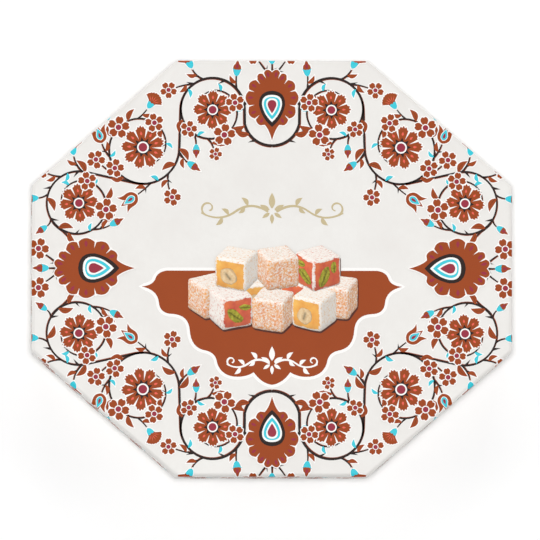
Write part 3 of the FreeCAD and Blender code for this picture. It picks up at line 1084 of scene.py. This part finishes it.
# Unevenness of the outside, as depth and size: a slow swell, and lumps that coconut deepens
SWELL, SWELL_SIZE = 0.3, 9.0
LUMPS, COATED_LUMPS, LUMP_SIZE = 0.16, 0.28, 1.6
# How far each seed moves a place within the noise
SEED_WAY = (7.3, 3.1, 5.7)
# A cut face: how deep it dips, how far out it is bare, and how the edge of its sugar wavers
JELLY_DIP = 0.35
CUT_SHARE = 0.87
CUT_BLEND = 0.07
CUT_WAVER, CUT_WAVER_SIZE = 0.08, 3.5
# Sugar between the flakes of coconut, and how much more lies on top
COATED_SUGAR, COATED_TOP_SUGAR = 0.72, 0.24
# Nuts: their gap below the cut face, how deep they sit, and how uneven they are
NUT_TOP_GAP = 0.12
NUT_DEPTH = 0.9
NUT_WAVER, NUT_WAVER_SIZE = 0.1, 1.5
NUT_LUMP_SIZE = 0.7
# Painted shade in the cleft of a nut and in the halo beside it, and the darker skin round its edge
CLEFT_SHADE, CLEFT_BLEND = 0.5, 0.25
HALO_SHADE, HALO_WIDTH = 0.16, 3
SKIN_DARK, SKIN_FROM, SKIN_BLEND = 0.25, 0.82, 0.15
# Flakes: how many, their half sizes, the least share of the first one, and how deep they lie
FLAKES = 150
FLAKE = (0.55, 0.2, 0.1)
FLAKE_LEAST = 0.6
FLAKE_DEPTH = 0.25
# Each kind of nut: its radii, how uneven it is, how long and wide its cleft is
NUTS = {
    "hazelnut": ((5.8, 5.3, 3.2), 0.14, (0.42, 0.14)),
    "pistachio": ((6.8, 3.5, 2.6), 0.24, (0.7, 0.13)),
    "coconut": ((1.5, 1.1, 1.0), 0.3, (0.5, 0.1)),
}
# Where nuts lie on a cut face, as shares of its half size, how they are turned and their size
NUT_SPOTS = {
    "hazelnut": ((-0.12, 0.1, 0.4, 1.0),),
    "pistachio": ((-0.14, 0.2, 0.4, 1.0), (0.3, -0.46, 0.9, 0.6)),
    "coconut": ((-0.34, 0.3, 0.4, 1.0), (0.36, -0.22, 2.1, 1.0), (0.1, 0.52, 5.0, 0.8),
                (-0.42, -0.4, 3.6, 1.0)),
}
# Colour and deep tone of each kind's jelly and of its nut
SWEET_INKS = {
    "hazelnut": (((244, 184, 80), (226, 148, 48)), ((242, 216, 172), (226, 188, 140))),
    "pistachio": (((232, 110, 44), (196, 58, 30)), ((196, 190, 66), (140, 132, 36))),
    "coconut": (((238, 166, 88), (222, 130, 54)), ((250, 240, 220), (226, 200, 160))),
}


def sweet_finishes(kind, printed):
    end = "_print" if printed else ""
    jelly, nut = SWEET_INKS[kind]
    return [jelly_finish(kind + "_jelly" + end, *jelly, printed),
            nut_finish(kind + "_piece" + end, *nut, printed),
            flake_finish(kind + "_flake" + end, printed)]


def on_side(axis, out, first, second):
    """A point on the side of a cube that an axis goes through."""
    place = [0.0, 0.0, 0.0]
    place[axis] = out
    place[(axis + 1) % 3] = first
    place[(axis + 2) % 3] = second
    return tuple(place)


def cube_grid():
    """The points and faces of a cube from -1 to 1, gridded finer near its edges."""
    lines = [math.sin(math.pi / 2 * (2 * step / GRID - 1)) for step in range(GRID + 1)]
    index, points, faces = {}, [], []
    for axis in range(3):
        for sign in (-1, 1):
            for first in range(GRID):
                for second in range(GRID):
                    loop = []
                    for a, b in ((0, 0), (1, 0), (1, 1), (0, 1)):
                        place = on_side(axis, float(sign), lines[first + a], lines[second + b])
                        key = tuple(round(value, 5) for value in place)
                        if key not in index:
                            index[key] = len(points)
                            points.append(place)
                        loop.append(index[key])
                    faces.append(loop if sign > 0 else loop[::-1])
    return points, faces


def softened(place):
    """A point on a cube moved onto the same cube with round edges, and the outward way there."""
    flat = 1 - SWEET_ROUND
    held = Vector([min(flat, max(-flat, value)) for value in place])
    way = (Vector(place) - held).normalized()
    return held + way * SWEET_ROUND, way


def wobble(place, size, seed):
    """Smooth noise from about -1 to 1, whose features are about size across."""
    return noise.noise(Vector(place) / size + Vector([seed * value for value in SEED_WAY]))


def lump(radii, seed, rough, count=10):
    """A nut piece: an uneven ball about the origin."""
    points, faces = [], []
    around = 2 * count
    for ring in range(1, count):
        tilt = math.pi * ring / count
        for step in range(around):
            turn = FULL_TURN * step / around
            way = Vector((math.sin(tilt) * math.cos(turn), math.sin(tilt) * math.sin(turn), math.cos(tilt)))
            reach = 1 + rough * wobble(way, NUT_LUMP_SIZE, seed)
            points.append(tuple(way[k] * radii[k] * reach for k in range(3)))
    points += [(0, 0, radii[2]), (0, 0, -radii[2])]
    top, bottom = len(points) - 2, len(points) - 1
    last = (count - 2) * around
    for step in range(around):
        after = (step + 1) % around
        faces += [[top, step, after], [bottom, last + after, last + step]]
        for low in range(0, last, around):
            faces.append([low + step, low + around + step, low + around + after, low + after])
    return points, faces


def nut_shade(point, radii, cleft):
    """How light a cut nut is at a point: painted shade in its cleft, and its darker skin at its edge."""
    along, across = point[0] / radii[0], point[1] / radii[1]
    length, width = cleft
    # Painted shade along the cleft and its halo, where the flat cut face has no groove
    groove = CLEFT_SHADE * math.exp(-(across / width) ** 2)
    groove += HALO_SHADE * math.exp(-(across / width / HALO_WIDTH) ** 2)
    groove *= 1 - smooth_step((abs(along) - length) / CLEFT_BLEND)
    return 1.0 - groove - SKIN_DARK * smooth_step((math.hypot(along, across) - SKIN_FROM) / SKIN_BLEND)


def add_flakes(shape, half):
    """Coconut flakes lying at all angles on the outside."""
    for _ in range(FLAKES):
        draw = [noise.random() for _ in range(5)]
        way = Vector([2 * draw[k] - 1 for k in range(3)])
        largest = max(range(3), key=lambda k: abs(way[k]))
        way[largest] = math.copysign(1.0, way[largest])
        spot, outward = softened(way)
        spot = Vector([spot[k] * (half[k] - FLAKE_DEPTH) for k in range(3)])
        turn = outward.to_track_quat("Z", "Y").to_matrix() @ Matrix.Rotation(draw[3] * FULL_TURN, 3, "Z")
        corners = []
        for dx, dy, dz in ((-1, -1, -1), (1, -1, -1), (1, 1, -1), (-1, 1, -1),
                           (-0.7, -0.6, 1), (0.8, -0.7, 1), (0.7, 0.6, 1), (-0.8, 0.7, 1)):
            local = Vector((dx * FLAKE[0] * (FLAKE_LEAST + draw[4]), dy * FLAKE[1], dz * FLAKE[2]))
            corner = spot + turn @ local
            corners.append(tuple(max(-half[k], min(half[k], corner[k])) for k in range(3)))
        shape.add(corners, [[3, 2, 1, 0], [4, 5, 6, 7], [0, 1, 5, 4], [1, 2, 6, 5],
                            [2, 3, 7, 6], [3, 0, 4, 7]], 2)


def sweet_shape(kind, size, seed, cut_axes):
    """One sweet about the origin, and the sugar and the shade at each of its points.

    Cut faces sit slightly low, with the nuts level in them.
    """
    shape = Shape()
    coated = kind == "coconut"
    half = Vector(size) / 2
    cube_points, cube_faces = cube_grid()
    points, sugar = [], []
    for place in cube_points:
        spot, way = softened(place)
        spot = Vector([spot[k] * half[k] for k in range(3)])
        dent = SWELL + SWELL * wobble(spot, SWELL_SIZE, seed)
        dent += (COATED_LUMPS if coated else LUMPS) * wobble(spot, LUMP_SIZE, seed + 2)
        bare = 0.0
        for axis, sign in cut_axes:
            if place[axis] == sign:
                out = max(abs(place[(axis + 1) % 3]), abs(place[(axis + 2) % 3]))
                edge = CUT_SHARE + CUT_WAVER * wobble(spot, CUT_WAVER_SIZE, seed)
                bare = smooth_step((edge - out) / CUT_BLEND)
        points.append(tuple(spot - way * max(0.0, dent + JELLY_DIP * bare)))
        dusting = COATED_SUGAR + COATED_TOP_SUGAR * max(0.0, way.z)
        sugar.append(dusting if coated and not bare else 1.0 - bare)
    shape.add(points, cube_faces)
    shades = [1.0] * len(points)
    radii, rough, cleft = NUTS[kind]
    for axis, sign in cut_axes:
        for number, (u, v, turn, scale) in enumerate(NUT_SPOTS[kind]):
            nut_points, nut_faces = lump([radius * scale for radius in radii], seed + number, rough)
            spin = Matrix.Rotation(turn + seed, 3, "Z")
            placed = []
            for point in nut_points:
                local = spin @ Vector(point)
                level = half[axis] - NUT_TOP_GAP + NUT_WAVER * wobble(local, NUT_WAVER_SIZE, seed)
                depth = min(level, half[axis] - NUT_DEPTH + local.z)
                placed.append(on_side(axis, sign * depth, u * half[(axis + 1) % 3] + local.x,
                                      (v * half[(axis + 2) % 3] + local.y) * sign))
            shape.add(placed, nut_faces, 1)
            sugar += [0.0] * len(placed)
            shades += [nut_shade(Vector(point) / scale, radii, cleft) for point in nut_points]
    if coated:
        add_flakes(shape, half)
        sugar += [1.0] * (len(shape.points) - len(sugar))
        shades += [1.0] * (len(shape.points) - len(shades))
    return shape, sugar, shades


def keep_values(mesh, **values):
    """Keep a number for each point of the mesh, for its finish to read."""
    for name, numbers in values.items():
        mesh.attributes.new(name, "FLOAT", "POINT").data.foreach_set("value", numbers)


def keep_source(mesh, points):
    """Keep where each point lay in the sweet, so that its grain stays with it."""
    source = mesh.attributes.new("source", "FLOAT_VECTOR", "POINT")
    source.data.foreach_set("vector", [value * MM for point in points for value in point])


def make_sweet(node, number):
    """The sweet that stands for one CAD node, in its pocket."""
    kind = node.split("_")[1]
    low, high = box_mm(node)
    cut_axes = [(2, 1)] if kind != "coconut" or number % 2 else []
    noise.seed_set(number + 1)
    shape, sugar, shades = sweet_shape(kind, high - low, number, cut_axes)
    source = shape.points
    shape.points = [tuple(Vector(point) + (low + high) / 2) for point in source]
    mesh = mesh_from_shape(node + "_look", shape)
    keep_source(mesh, source)
    keep_values(mesh, sugar=sugar, shade=shades)
    show(mesh, real_finishes[kind], SWEET_SHARP, "sweets", [node])


# The formed tray
PLASTIC = 0.5
SKIN_SHARE = 0.8
BEAD_WIDTH = 4.0
BEAD_HEIGHT = 1.2
BEAD_DRAFT = 0.7
BEAD_SETBACK = 3.0
POCKET_DEPTH = 15.5
POCKET_GROWTH = 0.3
POCKET_DRAFT = 1.1
POCKET_CORNER = 2.7
POCKET_FILLET = 1.2
MOUTH_ROUND = 0.7
RIM_RISE = 2.0
RIM_LAND = 2.0
RIM_DRAFT = 0.8
RIM_ROUND = 1.0
RIM_CORNER = 2.0
RIM_EASE = 0.3
RIM_NOSE = 0.05
RIM_FILLET = 0.25
LIP_DEPTH = 8.0
TRAY_SHARP = 40
JOIN_DISTANCE = 1e-6
# Bead section: share of the draft by which it leans in, and share of the height, from the deck up
BEAD_SECTION = ((0.0, 0.0), (0.2, 0.1), (0.55, 0.65), (0.85, 0.93), (1.5, 1.0))
ARC_STEPS = 6
POCKET_CORNERS = (1 + 1j, -1 + 1j, -1 - 1j, 1 - 1j)
FILLET_ANGLES = (0.4, 0.8, 1.2)
RIM_ANGLES = (0.5, 1.0, math.pi / 2)
WALL_SHARES = (0.15, 0.5, 0.85)


def bead_rings(half_length, y, deck):
    """A raised bar with round ends and a soft top, as rings of points from the deck up."""
    ends = [complex(side * (half_length - BEAD_WIDTH / 2), y) for side in (1, -1)]
    return [soft_ring(ends, BEAD_WIDTH / 2 - lean * BEAD_DRAFT, deck + rise * BEAD_HEIGHT, ARC_STEPS)
            for lean, rise in BEAD_SECTION]


def pocket_section(half, deck):
    """Half size, height and corner radius of a pocket's rings, from its mouth down to its floor."""
    floor = deck - POCKET_DEPTH
    wall_top = deck - MOUTH_ROUND
    rings = []
    for angle in (0.0,) + FILLET_ANGLES:
        grow = POCKET_DRAFT + MOUTH_ROUND * (1 - math.sin(angle))
        rings.append((grow, deck - MOUTH_ROUND * (1 - math.cos(angle))))
    for share in WALL_SHARES:
        rings.append((POCKET_DRAFT * (1 - share), wall_top + share * (floor + POCKET_FILLET - wall_top)))
    for angle in FILLET_ANGLES + (math.pi / 2,):
        rings.append((POCKET_FILLET * (math.cos(angle) - 1), floor + POCKET_FILLET * (1 - math.sin(angle))))
    return [(half + grow, z, POCKET_CORNER + grow) for grow, z in rings]


def rim_rings(deck):
    """The tray's outside, from the foot of its lip over the rim down to the deck."""
    inset = lid_high.x - tray_high.x
    inner = inset + PLASTIC + RIM_LAND
    profile = [(inset, tray_high.z - LIP_DEPTH), (inset, tray_high.z - RIM_ROUND)]
    for angle in RIM_ANGLES:
        profile.append((inset + RIM_ROUND * (1 - math.cos(angle)),
                        tray_high.z - RIM_ROUND * (1 - math.sin(angle))))
    profile += [(inner - RIM_EASE, tray_high.z), (inner + RIM_NOSE, tray_high.z - RIM_FILLET),
                (inner + RIM_DRAFT, deck + RIM_FILLET), (inner + RIM_DRAFT + RIM_EASE, deck)]
    return [soft_ring(outline(depth + RIM_CORNER), RIM_CORNER, z) for depth, z in profile]


def make_tray(places):
    """One thin formed skin: lip, rounded rim, sunk deck with beads and a fillet into every pocket."""
    deck = tray_high.z - RIM_RISE
    shape = Shape()
    section = pocket_section((places[0][1].x - places[0][0].x) / 2 + POCKET_GROWTH, deck)
    mouths = []
    rows = {}
    for low, high in places:
        middle = complex((low.x + high.x) / 2, (low.y + high.y) / 2)
        rings = [soft_ring([middle + (size - radius) * corner for corner in POCKET_CORNERS], radius, z,
                           ARC_STEPS) for size, z, radius in section]
        mouths.append(rings[0])
        loft(shape, rings[::-1], first_cap=False, last_cap=False)
        shape.add(rings[-1], [list(range(len(rings[-1])))])
        rows.setdefault(round(middle.imag, 1), []).append(middle.real)
    heights = sorted(rows)
    for low_row, high_row in zip(heights, heights[1:]):
        reach = min(max(rows[low_row]), max(rows[high_row]))
        rings = bead_rings(reach + section[0][0] - BEAD_SETBACK, (low_row + high_row) / 2, deck)
        loft(shape, rings, first_cap=False)
        mouths.append(rings[0])
    rings = rim_rings(deck)
    loft(shape, rings, first_cap=False, last_cap=False)
    loops = [[Vector(point) for point in loop] for loop in [rings[-1]] + mouths]
    triangles = tessellate_polygon(loops)
    shape.add([tuple(point) for loop in loops for point in loop], [list(triangle) for triangle in triangles])
    mesh = mesh_from_shape("tray_skin", shape)
    work = bmesh.new()
    work.from_mesh(mesh)
    bmesh.ops.remove_doubles(work, verts=work.verts, dist=JOIN_DISTANCE)
    bmesh.ops.recalc_face_normals(work, faces=work.faces)
    if max(work.faces, key=lambda face: face.calc_center_median().z).normal.z < 0:
        bmesh.ops.reverse_faces(work, faces=work.faces)
    bmesh.ops.solidify(work, geom=work.faces[:], thickness=-PLASTIC * MM * SKIN_SHARE)
    work.to_mesh(mesh)
    work.free()
    show(mesh, [clear_plastic], TRAY_SHARP, "tray", ["sweet_tray"])


# Loose sheet and quilted pad
SHEET_GRID = 2.5
SHEET_LIFT = 0.08
SHEET_WAVE = 0.12
# Waves of the sheet: size, seed and share, and what brings them up to their full height
SHEET_WAVES = ((38, 3, 0.5), (13, 5, 0.35))
SHEET_GAIN = 1.6
SHEET_SHARP = 60
PAD_GRID = 1.7
PAD_LIFT = 0.02
PAD_EDGE_THICKNESS = 1.6
PAD_EDGE_WIDTH = 6.9
PAD_CHANNEL_PITCH = 26.0
PAD_CHANNEL_WIDTH = 2.2
PAD_CHANNEL_DEPTH = 1.25
PAD_TUCK_WIDTH = 2.64
PAD_TUCK_DEPTH = 0.55
PAD_CREASE_DEPTH = 1.4
# Creases of the pad: stretch, size, seed and share
PAD_CREASES = ((0.5, 5, 9, 0.09), (1, 2, 4, 0.05))
PAD_FULLNESS = 0.8
# Painted shade: how much darker the pad is painted in its channels, tucks and creases
PAD_CHANNEL_SHADE, PAD_TUCK_SHADE, PAD_CREASE_SHADE = 0.2, 0.1, 0.9
PAD_CREPE = 0.12
PAD_LEAST = 0.5
PAD_SHARP = 70


def octagon_grid(inset, pitch):
    """A flat octagon cut into squares, as a bmesh in millimetres."""
    work = bmesh.new()
    work.faces.new([work.verts.new(at_height(corner, 0)) for corner in outline(inset)])
    for way, reach in ((1, int(lid_high.x / pitch)), (1j, int(lid_high.y / pitch))):
        for step in range(-reach, reach + 1):
            slice_work(work, way * step * pitch, complex(way))
    bmesh.ops.triangulate(work, faces=[face for face in work.faces if len(face.verts) > 4])
    return work


def make_sheet():
    """Loose glassine: it lies on the sweets with a faint wave in it."""
    inset = lid_high.x - sheet_high.x
    work = octagon_grid(inset, SHEET_GRID)
    for vert in work.verts:
        place = (vert.co.x, vert.co.y, 0)
        wave = SHEET_GAIN * sum(share * wobble(place, size, seed) for size, seed, share in SHEET_WAVES)
        vert.co.z = sheet_low.z + SHEET_LIFT + SHEET_WAVE * max(-1.0, min(1.0, wave))
    mesh = mesh_from_work("glassine_sheet", work)
    made = show(mesh, [glassine], SHEET_SHARP, "sheet", ["interleaf_sheet"])
    area(outline(inset)) * MM * MM


def pad_top(place, sides):
    """The pad's top, as its height and its painted shade: channels, crowned cells, a crimped edge."""
    depth = min(-from_side(place, side)[1] for side in sides)
    slope = smooth_step(depth / PAD_EDGE_WIDTH) ** PAD_FULLNESS
    crown = pad_low.z + PAD_EDGE_THICKNESS + (pad_high.z - pad_low.z - PAD_EDGE_THICKNESS) * slope
    across, run = place.real / PAD_CHANNEL_PITCH, place.imag / PAD_CHANNEL_PITCH
    channel = abs(across - round(across)) * PAD_CHANNEL_PITCH
    tuck = abs(run - math.floor(run) - 0.5) * PAD_CHANNEL_PITCH
    groove = math.exp(-(channel / PAD_CHANNEL_WIDTH) ** 2)
    pinch = math.exp(-(tuck / PAD_TUCK_WIDTH) ** 2)
    crease = abs(sum(share * wobble((place.real * stretch, place.imag, 0), size, seed)
                     for stretch, size, seed, share in PAD_CREASES))
    dip = PAD_CHANNEL_DEPTH * groove + PAD_TUCK_DEPTH * pinch * (1 - groove) + PAD_CREASE_DEPTH * crease
    height = max(pad_low.z + PAD_LEAST, crown - PAD_CREPE - dip * slope)
    # Painted shade in the channels, tucks and creases
    shade = 1.0 - (PAD_CHANNEL_SHADE * groove + PAD_TUCK_SHADE * pinch) * slope - PAD_CREASE_SHADE * crease
    return height, shade


def make_pad():
    """The quilted paper pad: embossed plies, thick in its cells and crimped flat at its edge."""
    inset = lid_high.x - pad_high.x
    sides = sides_at(inset)
    work = octagon_grid(inset, PAD_GRID)
    below = bmesh.ops.duplicate(work, geom=work.faces[:])["geom"]
    under = {item for item in below if isinstance(item, bmesh.types.BMVert)}
    shades = []
    for vert in work.verts:
        height, shade = pad_top(complex(vert.co.x, vert.co.y), sides)
        vert.co.z = pad_low.z + PAD_LIFT if vert in under else height
        shades.append(shade)
    bmesh.ops.reverse_faces(work, faces=[item for item in below if isinstance(item, bmesh.types.BMFace)])
    bmesh.ops.bridge_loops(work, edges=[edge for edge in work.edges if edge.is_boundary])
    mesh = mesh_from_work("quilted_pad", work)
    # The painted shade is kept for the pad's finish to read
    keep_values(mesh, shade=shades)
    made = show(mesh, [pad_paper], PAD_SHARP, "pad", ["cushion_pad"])


# The picture on the lid: sweets drawn in depth, then laid flat as print
PICTURE_SCALE = 0.7
PICTURE_SWEET = Vector((22.0, 22.0, 21.5))
PICTURE_TILT = math.radians(24)
PICTURE_DEPTH_SHARE = 0.012
PICTURE_PLACE = -14.5
PICTURE_SEED = 100
PICTURE_SHAPE_SEED = 31
PICTURE_SHARP = 60
# How light a side is by its turn to the light, and by its height over the foot of its sweet
SIDE_DIM, SIDE_LIT = 0.68, 0.38
FOOT_DIM, FOOT_LIT, FOOT_START, FOOT_HEIGHT = 0.72, 0.28, -11, 7
PICTURE_LIGHT = Vector((-0.45, -0.55, 0.75)).normalized()
SHADE_OFFSET = 0.35 - 0.75j
# Each sweet: kind, place to the right, away and up, its turn, and which sides are cut
PICTURE_SWEETS = (
    ("coconut", -27.0, 6.0, 0.0, 0.55, ()),
    ("pistachio", 13.5, 9.0, 0.0, -0.5, ((1, -1),)),
    ("hazelnut", -9.0, 8.0, 0.0, 0.3, ((1, -1),)),
    ("coconut", 28.5, 5.0, 0.0, -0.3, ()),
    ("pistachio", -18.0, -6.0, 0.0, 0.42, ((0, 1), (1, -1))),
    ("coconut", 0.5, -9.0, 0.0, -0.35, ()),
    ("hazelnut", 18.5, -7.5, 0.0, -0.5, ((0, -1), (1, -1))),
    ("hazelnut", -15.5, 1.5, 15.0, -0.4, ((0, -1), (1, -1))),
    ("coconut", 2.5, 2.5, 15.0, 0.35, ()),
    ("pistachio", 20.0, 2.0, 15.0, 0.6, ((0, -1), (1, -1))),
)


def picture_sweet(number, kind, place, turn, cuts):
    """One sweet of the picture, and each of its points seen from a little above: across, up, near."""
    noise.seed_set(PICTURE_SEED + number)
    shape, sugar, nut_shades = sweet_shape(kind, PICTURE_SWEET, PICTURE_SHAPE_SEED + number, cuts)
    mesh = mesh_from_shape("picture_sweet_" + str(number + 1), shape)
    mesh.transform(Matrix.Rotation(turn, 4, "Z"))
    shades, seen = [], []
    for vert, nut in zip(mesh.vertices, nut_shades):
        facing = max(0.0, vert.normal.dot(PICTURE_LIGHT))
        foot = smooth_step((vert.co.z / MM - FOOT_START) / FOOT_HEIGHT)
        shades.append(nut * (SIDE_DIM + SIDE_LIT * facing) * (FOOT_DIM + FOOT_LIT * foot))
        x, y, z = vert.co / MM * PICTURE_SCALE + Vector(place)
        seen.append((x, z * math.cos(PICTURE_TILT) + y * math.sin(PICTURE_TILT),
                     z * math.sin(PICTURE_TILT) - y * math.cos(PICTURE_TILT)))
    keep_source(mesh, shape.points)
    keep_values(mesh, sugar=sugar, shade=shades)
    return mesh, seen, kind


def contact_shade(number, seen, height):
    """A dark shape behind one sweet of the picture, set off a little from its silhouette."""
    flat = [place[:2] for place in seen]
    hull = anticlockwise([complex(*flat[index]) for index in convex_hull_2d(flat)])
    mesh = bpy.data.meshes.new("picture_shade_" + str(number + 1))
    mesh.from_pydata([tuple(value * MM for value in at_height(p + SHADE_OFFSET + 1j * PICTURE_PLACE, height))
                      for p in hull], [], [list(range(len(hull)))])
    show(mesh, [shade_ink], INK_SHARP, "lid")


def print_picture():
    """The pile of sweets, pressed almost flat on the panel over its contact shades."""
    drawn = [picture_sweet(number, kind, place, turn, cuts)
             for number, (kind, *place, turn, cuts) in enumerate(PICTURE_SWEETS)]
    nearest = min(near for mesh, seen, kind in drawn for u, v, near in seen)
    ground = lid_high.z + INK_STEP * LAYER
    for number, (mesh, seen, kind) in enumerate(drawn):
        height = ground - INK_STEP + INK_SHUFFLE * (number % PICTURE_SHUFFLE_COUNT)
        contact_shade(number, seen, height)
    for mesh, seen, kind in drawn:
        flat = [(u * MM, (v + PICTURE_PLACE) * MM, (ground + PICTURE_DEPTH_SHARE * (near - nearest)) * MM)
                for u, v, near in seen]
        mesh.vertices.foreach_set("co", [value for place in flat for value in place])
        mesh.update()
        show(mesh, printed_finishes[kind], PICTURE_SHARP, "lid")


# Stage, lights and camera
IMAGE_WIDTH = 540
FRAME_WIDTH = 236.25 * MM
PIXEL = FRAME_WIDTH / IMAGE_WIDTH
CENTRE_PIXEL = (272.0, 268.4)
CAMERA_DISTANCE = 6.0
CAMERA_TILT = math.radians(3.35)
CAMERA_LEAN = math.radians(1.6)
SENSOR = 36.0
FLOOR_HALF = 3.0
FLOOR_STEPS = 24
FLOOR_SHARP = 30
WORLD_STRENGTH = 0.3
# Each light: place, size and power
LIGHTS = {
    "overhead": ((-0.06, -0.12, 3.0), 0.45, 51),
    "left_fill": ((-2.4, 0.1, 0.7), 1.2, 15),
    "right_fill": ((2.4, 0.2, 0.8), 1.2, 13),
    "back_fill": ((0.1, 2.4, 0.8), 1.4, 17),
}


def make_floor():
    work = bmesh.new()
    bmesh.ops.create_grid(work, x_segments=FLOOR_STEPS, y_segments=FLOOR_STEPS, size=FLOOR_HALF)
    mesh = bpy.data.meshes.new("studio_floor")
    work.to_mesh(mesh)
    work.free()
    object_from_mesh(mesh, [floor_finish()], FLOOR_SHARP)


def add_light(name, place, size, power):
    light = bpy.data.lights.new(name, "AREA")
    light.shape = "SQUARE"
    light.size = size
    light.energy = power
    made = bpy.data.objects.new(name, light)
    bpy.context.scene.collection.objects.link(made)
    made.location = place
    made.rotation_euler = (-Vector(place)).to_track_quat("-Z", "Y").to_euler()
    made.visible_camera = False


def light_the_room():
    for name, entry in LIGHTS.items():
        add_light(name, *entry)
    world = bpy.data.worlds.new("studio")
    world.use_nodes = True
    background = world.node_tree.nodes["Background"]
    background.inputs["Color"].default_value = (1.0, 1.0, 1.0, 1.0)
    background.inputs["Strength"].default_value = WORLD_STRENGTH
    bpy.context.scene.world = world
    bpy.context.scene.view_settings.view_transform = "Standard"


def set_up_camera():
    """A long lens from almost straight above, so that a little of the front and left walls shows."""
    data = bpy.data.cameras.new("camera")
    data.sensor_width = SENSOR
    data.lens = SENSOR * CAMERA_DISTANCE / FRAME_WIDTH
    data.clip_end = 100
    camera = bpy.data.objects.new("camera", data)
    bpy.context.scene.collection.objects.link(camera)
    back = Vector((-math.tan(CAMERA_LEAN), -math.tan(CAMERA_TILT), 1)).normalized()
    aim = Vector(((IMAGE_WIDTH / 2 - CENTRE_PIXEL[0]) * PIXEL, (CENTRE_PIXEL[1] - IMAGE_WIDTH / 2) * PIXEL,
                  lid_high.z * MM))
    camera.location = aim + back * CAMERA_DISTANCE
    camera.rotation_mode = "QUATERNION"
    side = Vector((0, 1, 0)).cross(back).normalized()
    camera.rotation_quaternion = Matrix((side, back.cross(side), back)).transposed().to_quaternion()
    bpy.context.scene.camera = camera


set_up_camera()
make_floor()
light_the_room()

printed_board = coated_board("printed_board", (228, 226, 222), (223, 220, 216))
plain_board = coated_board("plain_board", (236, 232, 225), (224, 218, 209))
clear_plastic = clear_plastic_finish()
glassine = glassine_finish()
pad_paper = pad_paper_finish()
real_finishes = {kind: sweet_finishes(kind, False) for kind in NUTS}
printed_finishes = {kind: sweet_finishes(kind, True) for kind in NUTS}
# Each ink of the ornament: colour, deep tone, grain, roughness and relief
ink_finishes = {
    "white": printed_ink("white", (248, 246, 244), (243, 241, 238), 0.5, 0.4),
    "copper": printed_ink("copper", (161, 72, 24), (147, 62, 19), 0.35, 0.5, 0.03),
    "brown": printed_ink("brown", (46, 28, 23), (32, 20, 17), 0.4, 0.5),
    "crimson": printed_ink("crimson", (160, 40, 62), (138, 30, 52)),
    "coral": printed_ink("coral", (238, 104, 84), (224, 88, 70)),
    "turquoise": printed_ink("turquoise", (66, 208, 222), (46, 190, 208)),
    "gold": printed_ink("gold", (204, 189, 152), (188, 172, 134), 0.35, 0.46, 0.03),
}
shade_ink = printed_ink("shade", (92, 46, 34), (78, 38, 30), 0.4, 0.5)

make_carton("base", lid_high.x - base_high.x, base_high.z - base_low.z, False, plain_board)
make_carton("lid", 0.0, lid_high.z - lid_low.z, True, printed_board)
print_lid()
print_picture()
sweet_nodes = sorted(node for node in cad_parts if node.startswith("sweet_") and node != "sweet_tray")
make_tray([box_mm(node) for node in sweet_nodes])
for number, node in enumerate(sweet_nodes):
    make_sweet(node, number)
make_sheet()
make_pad()
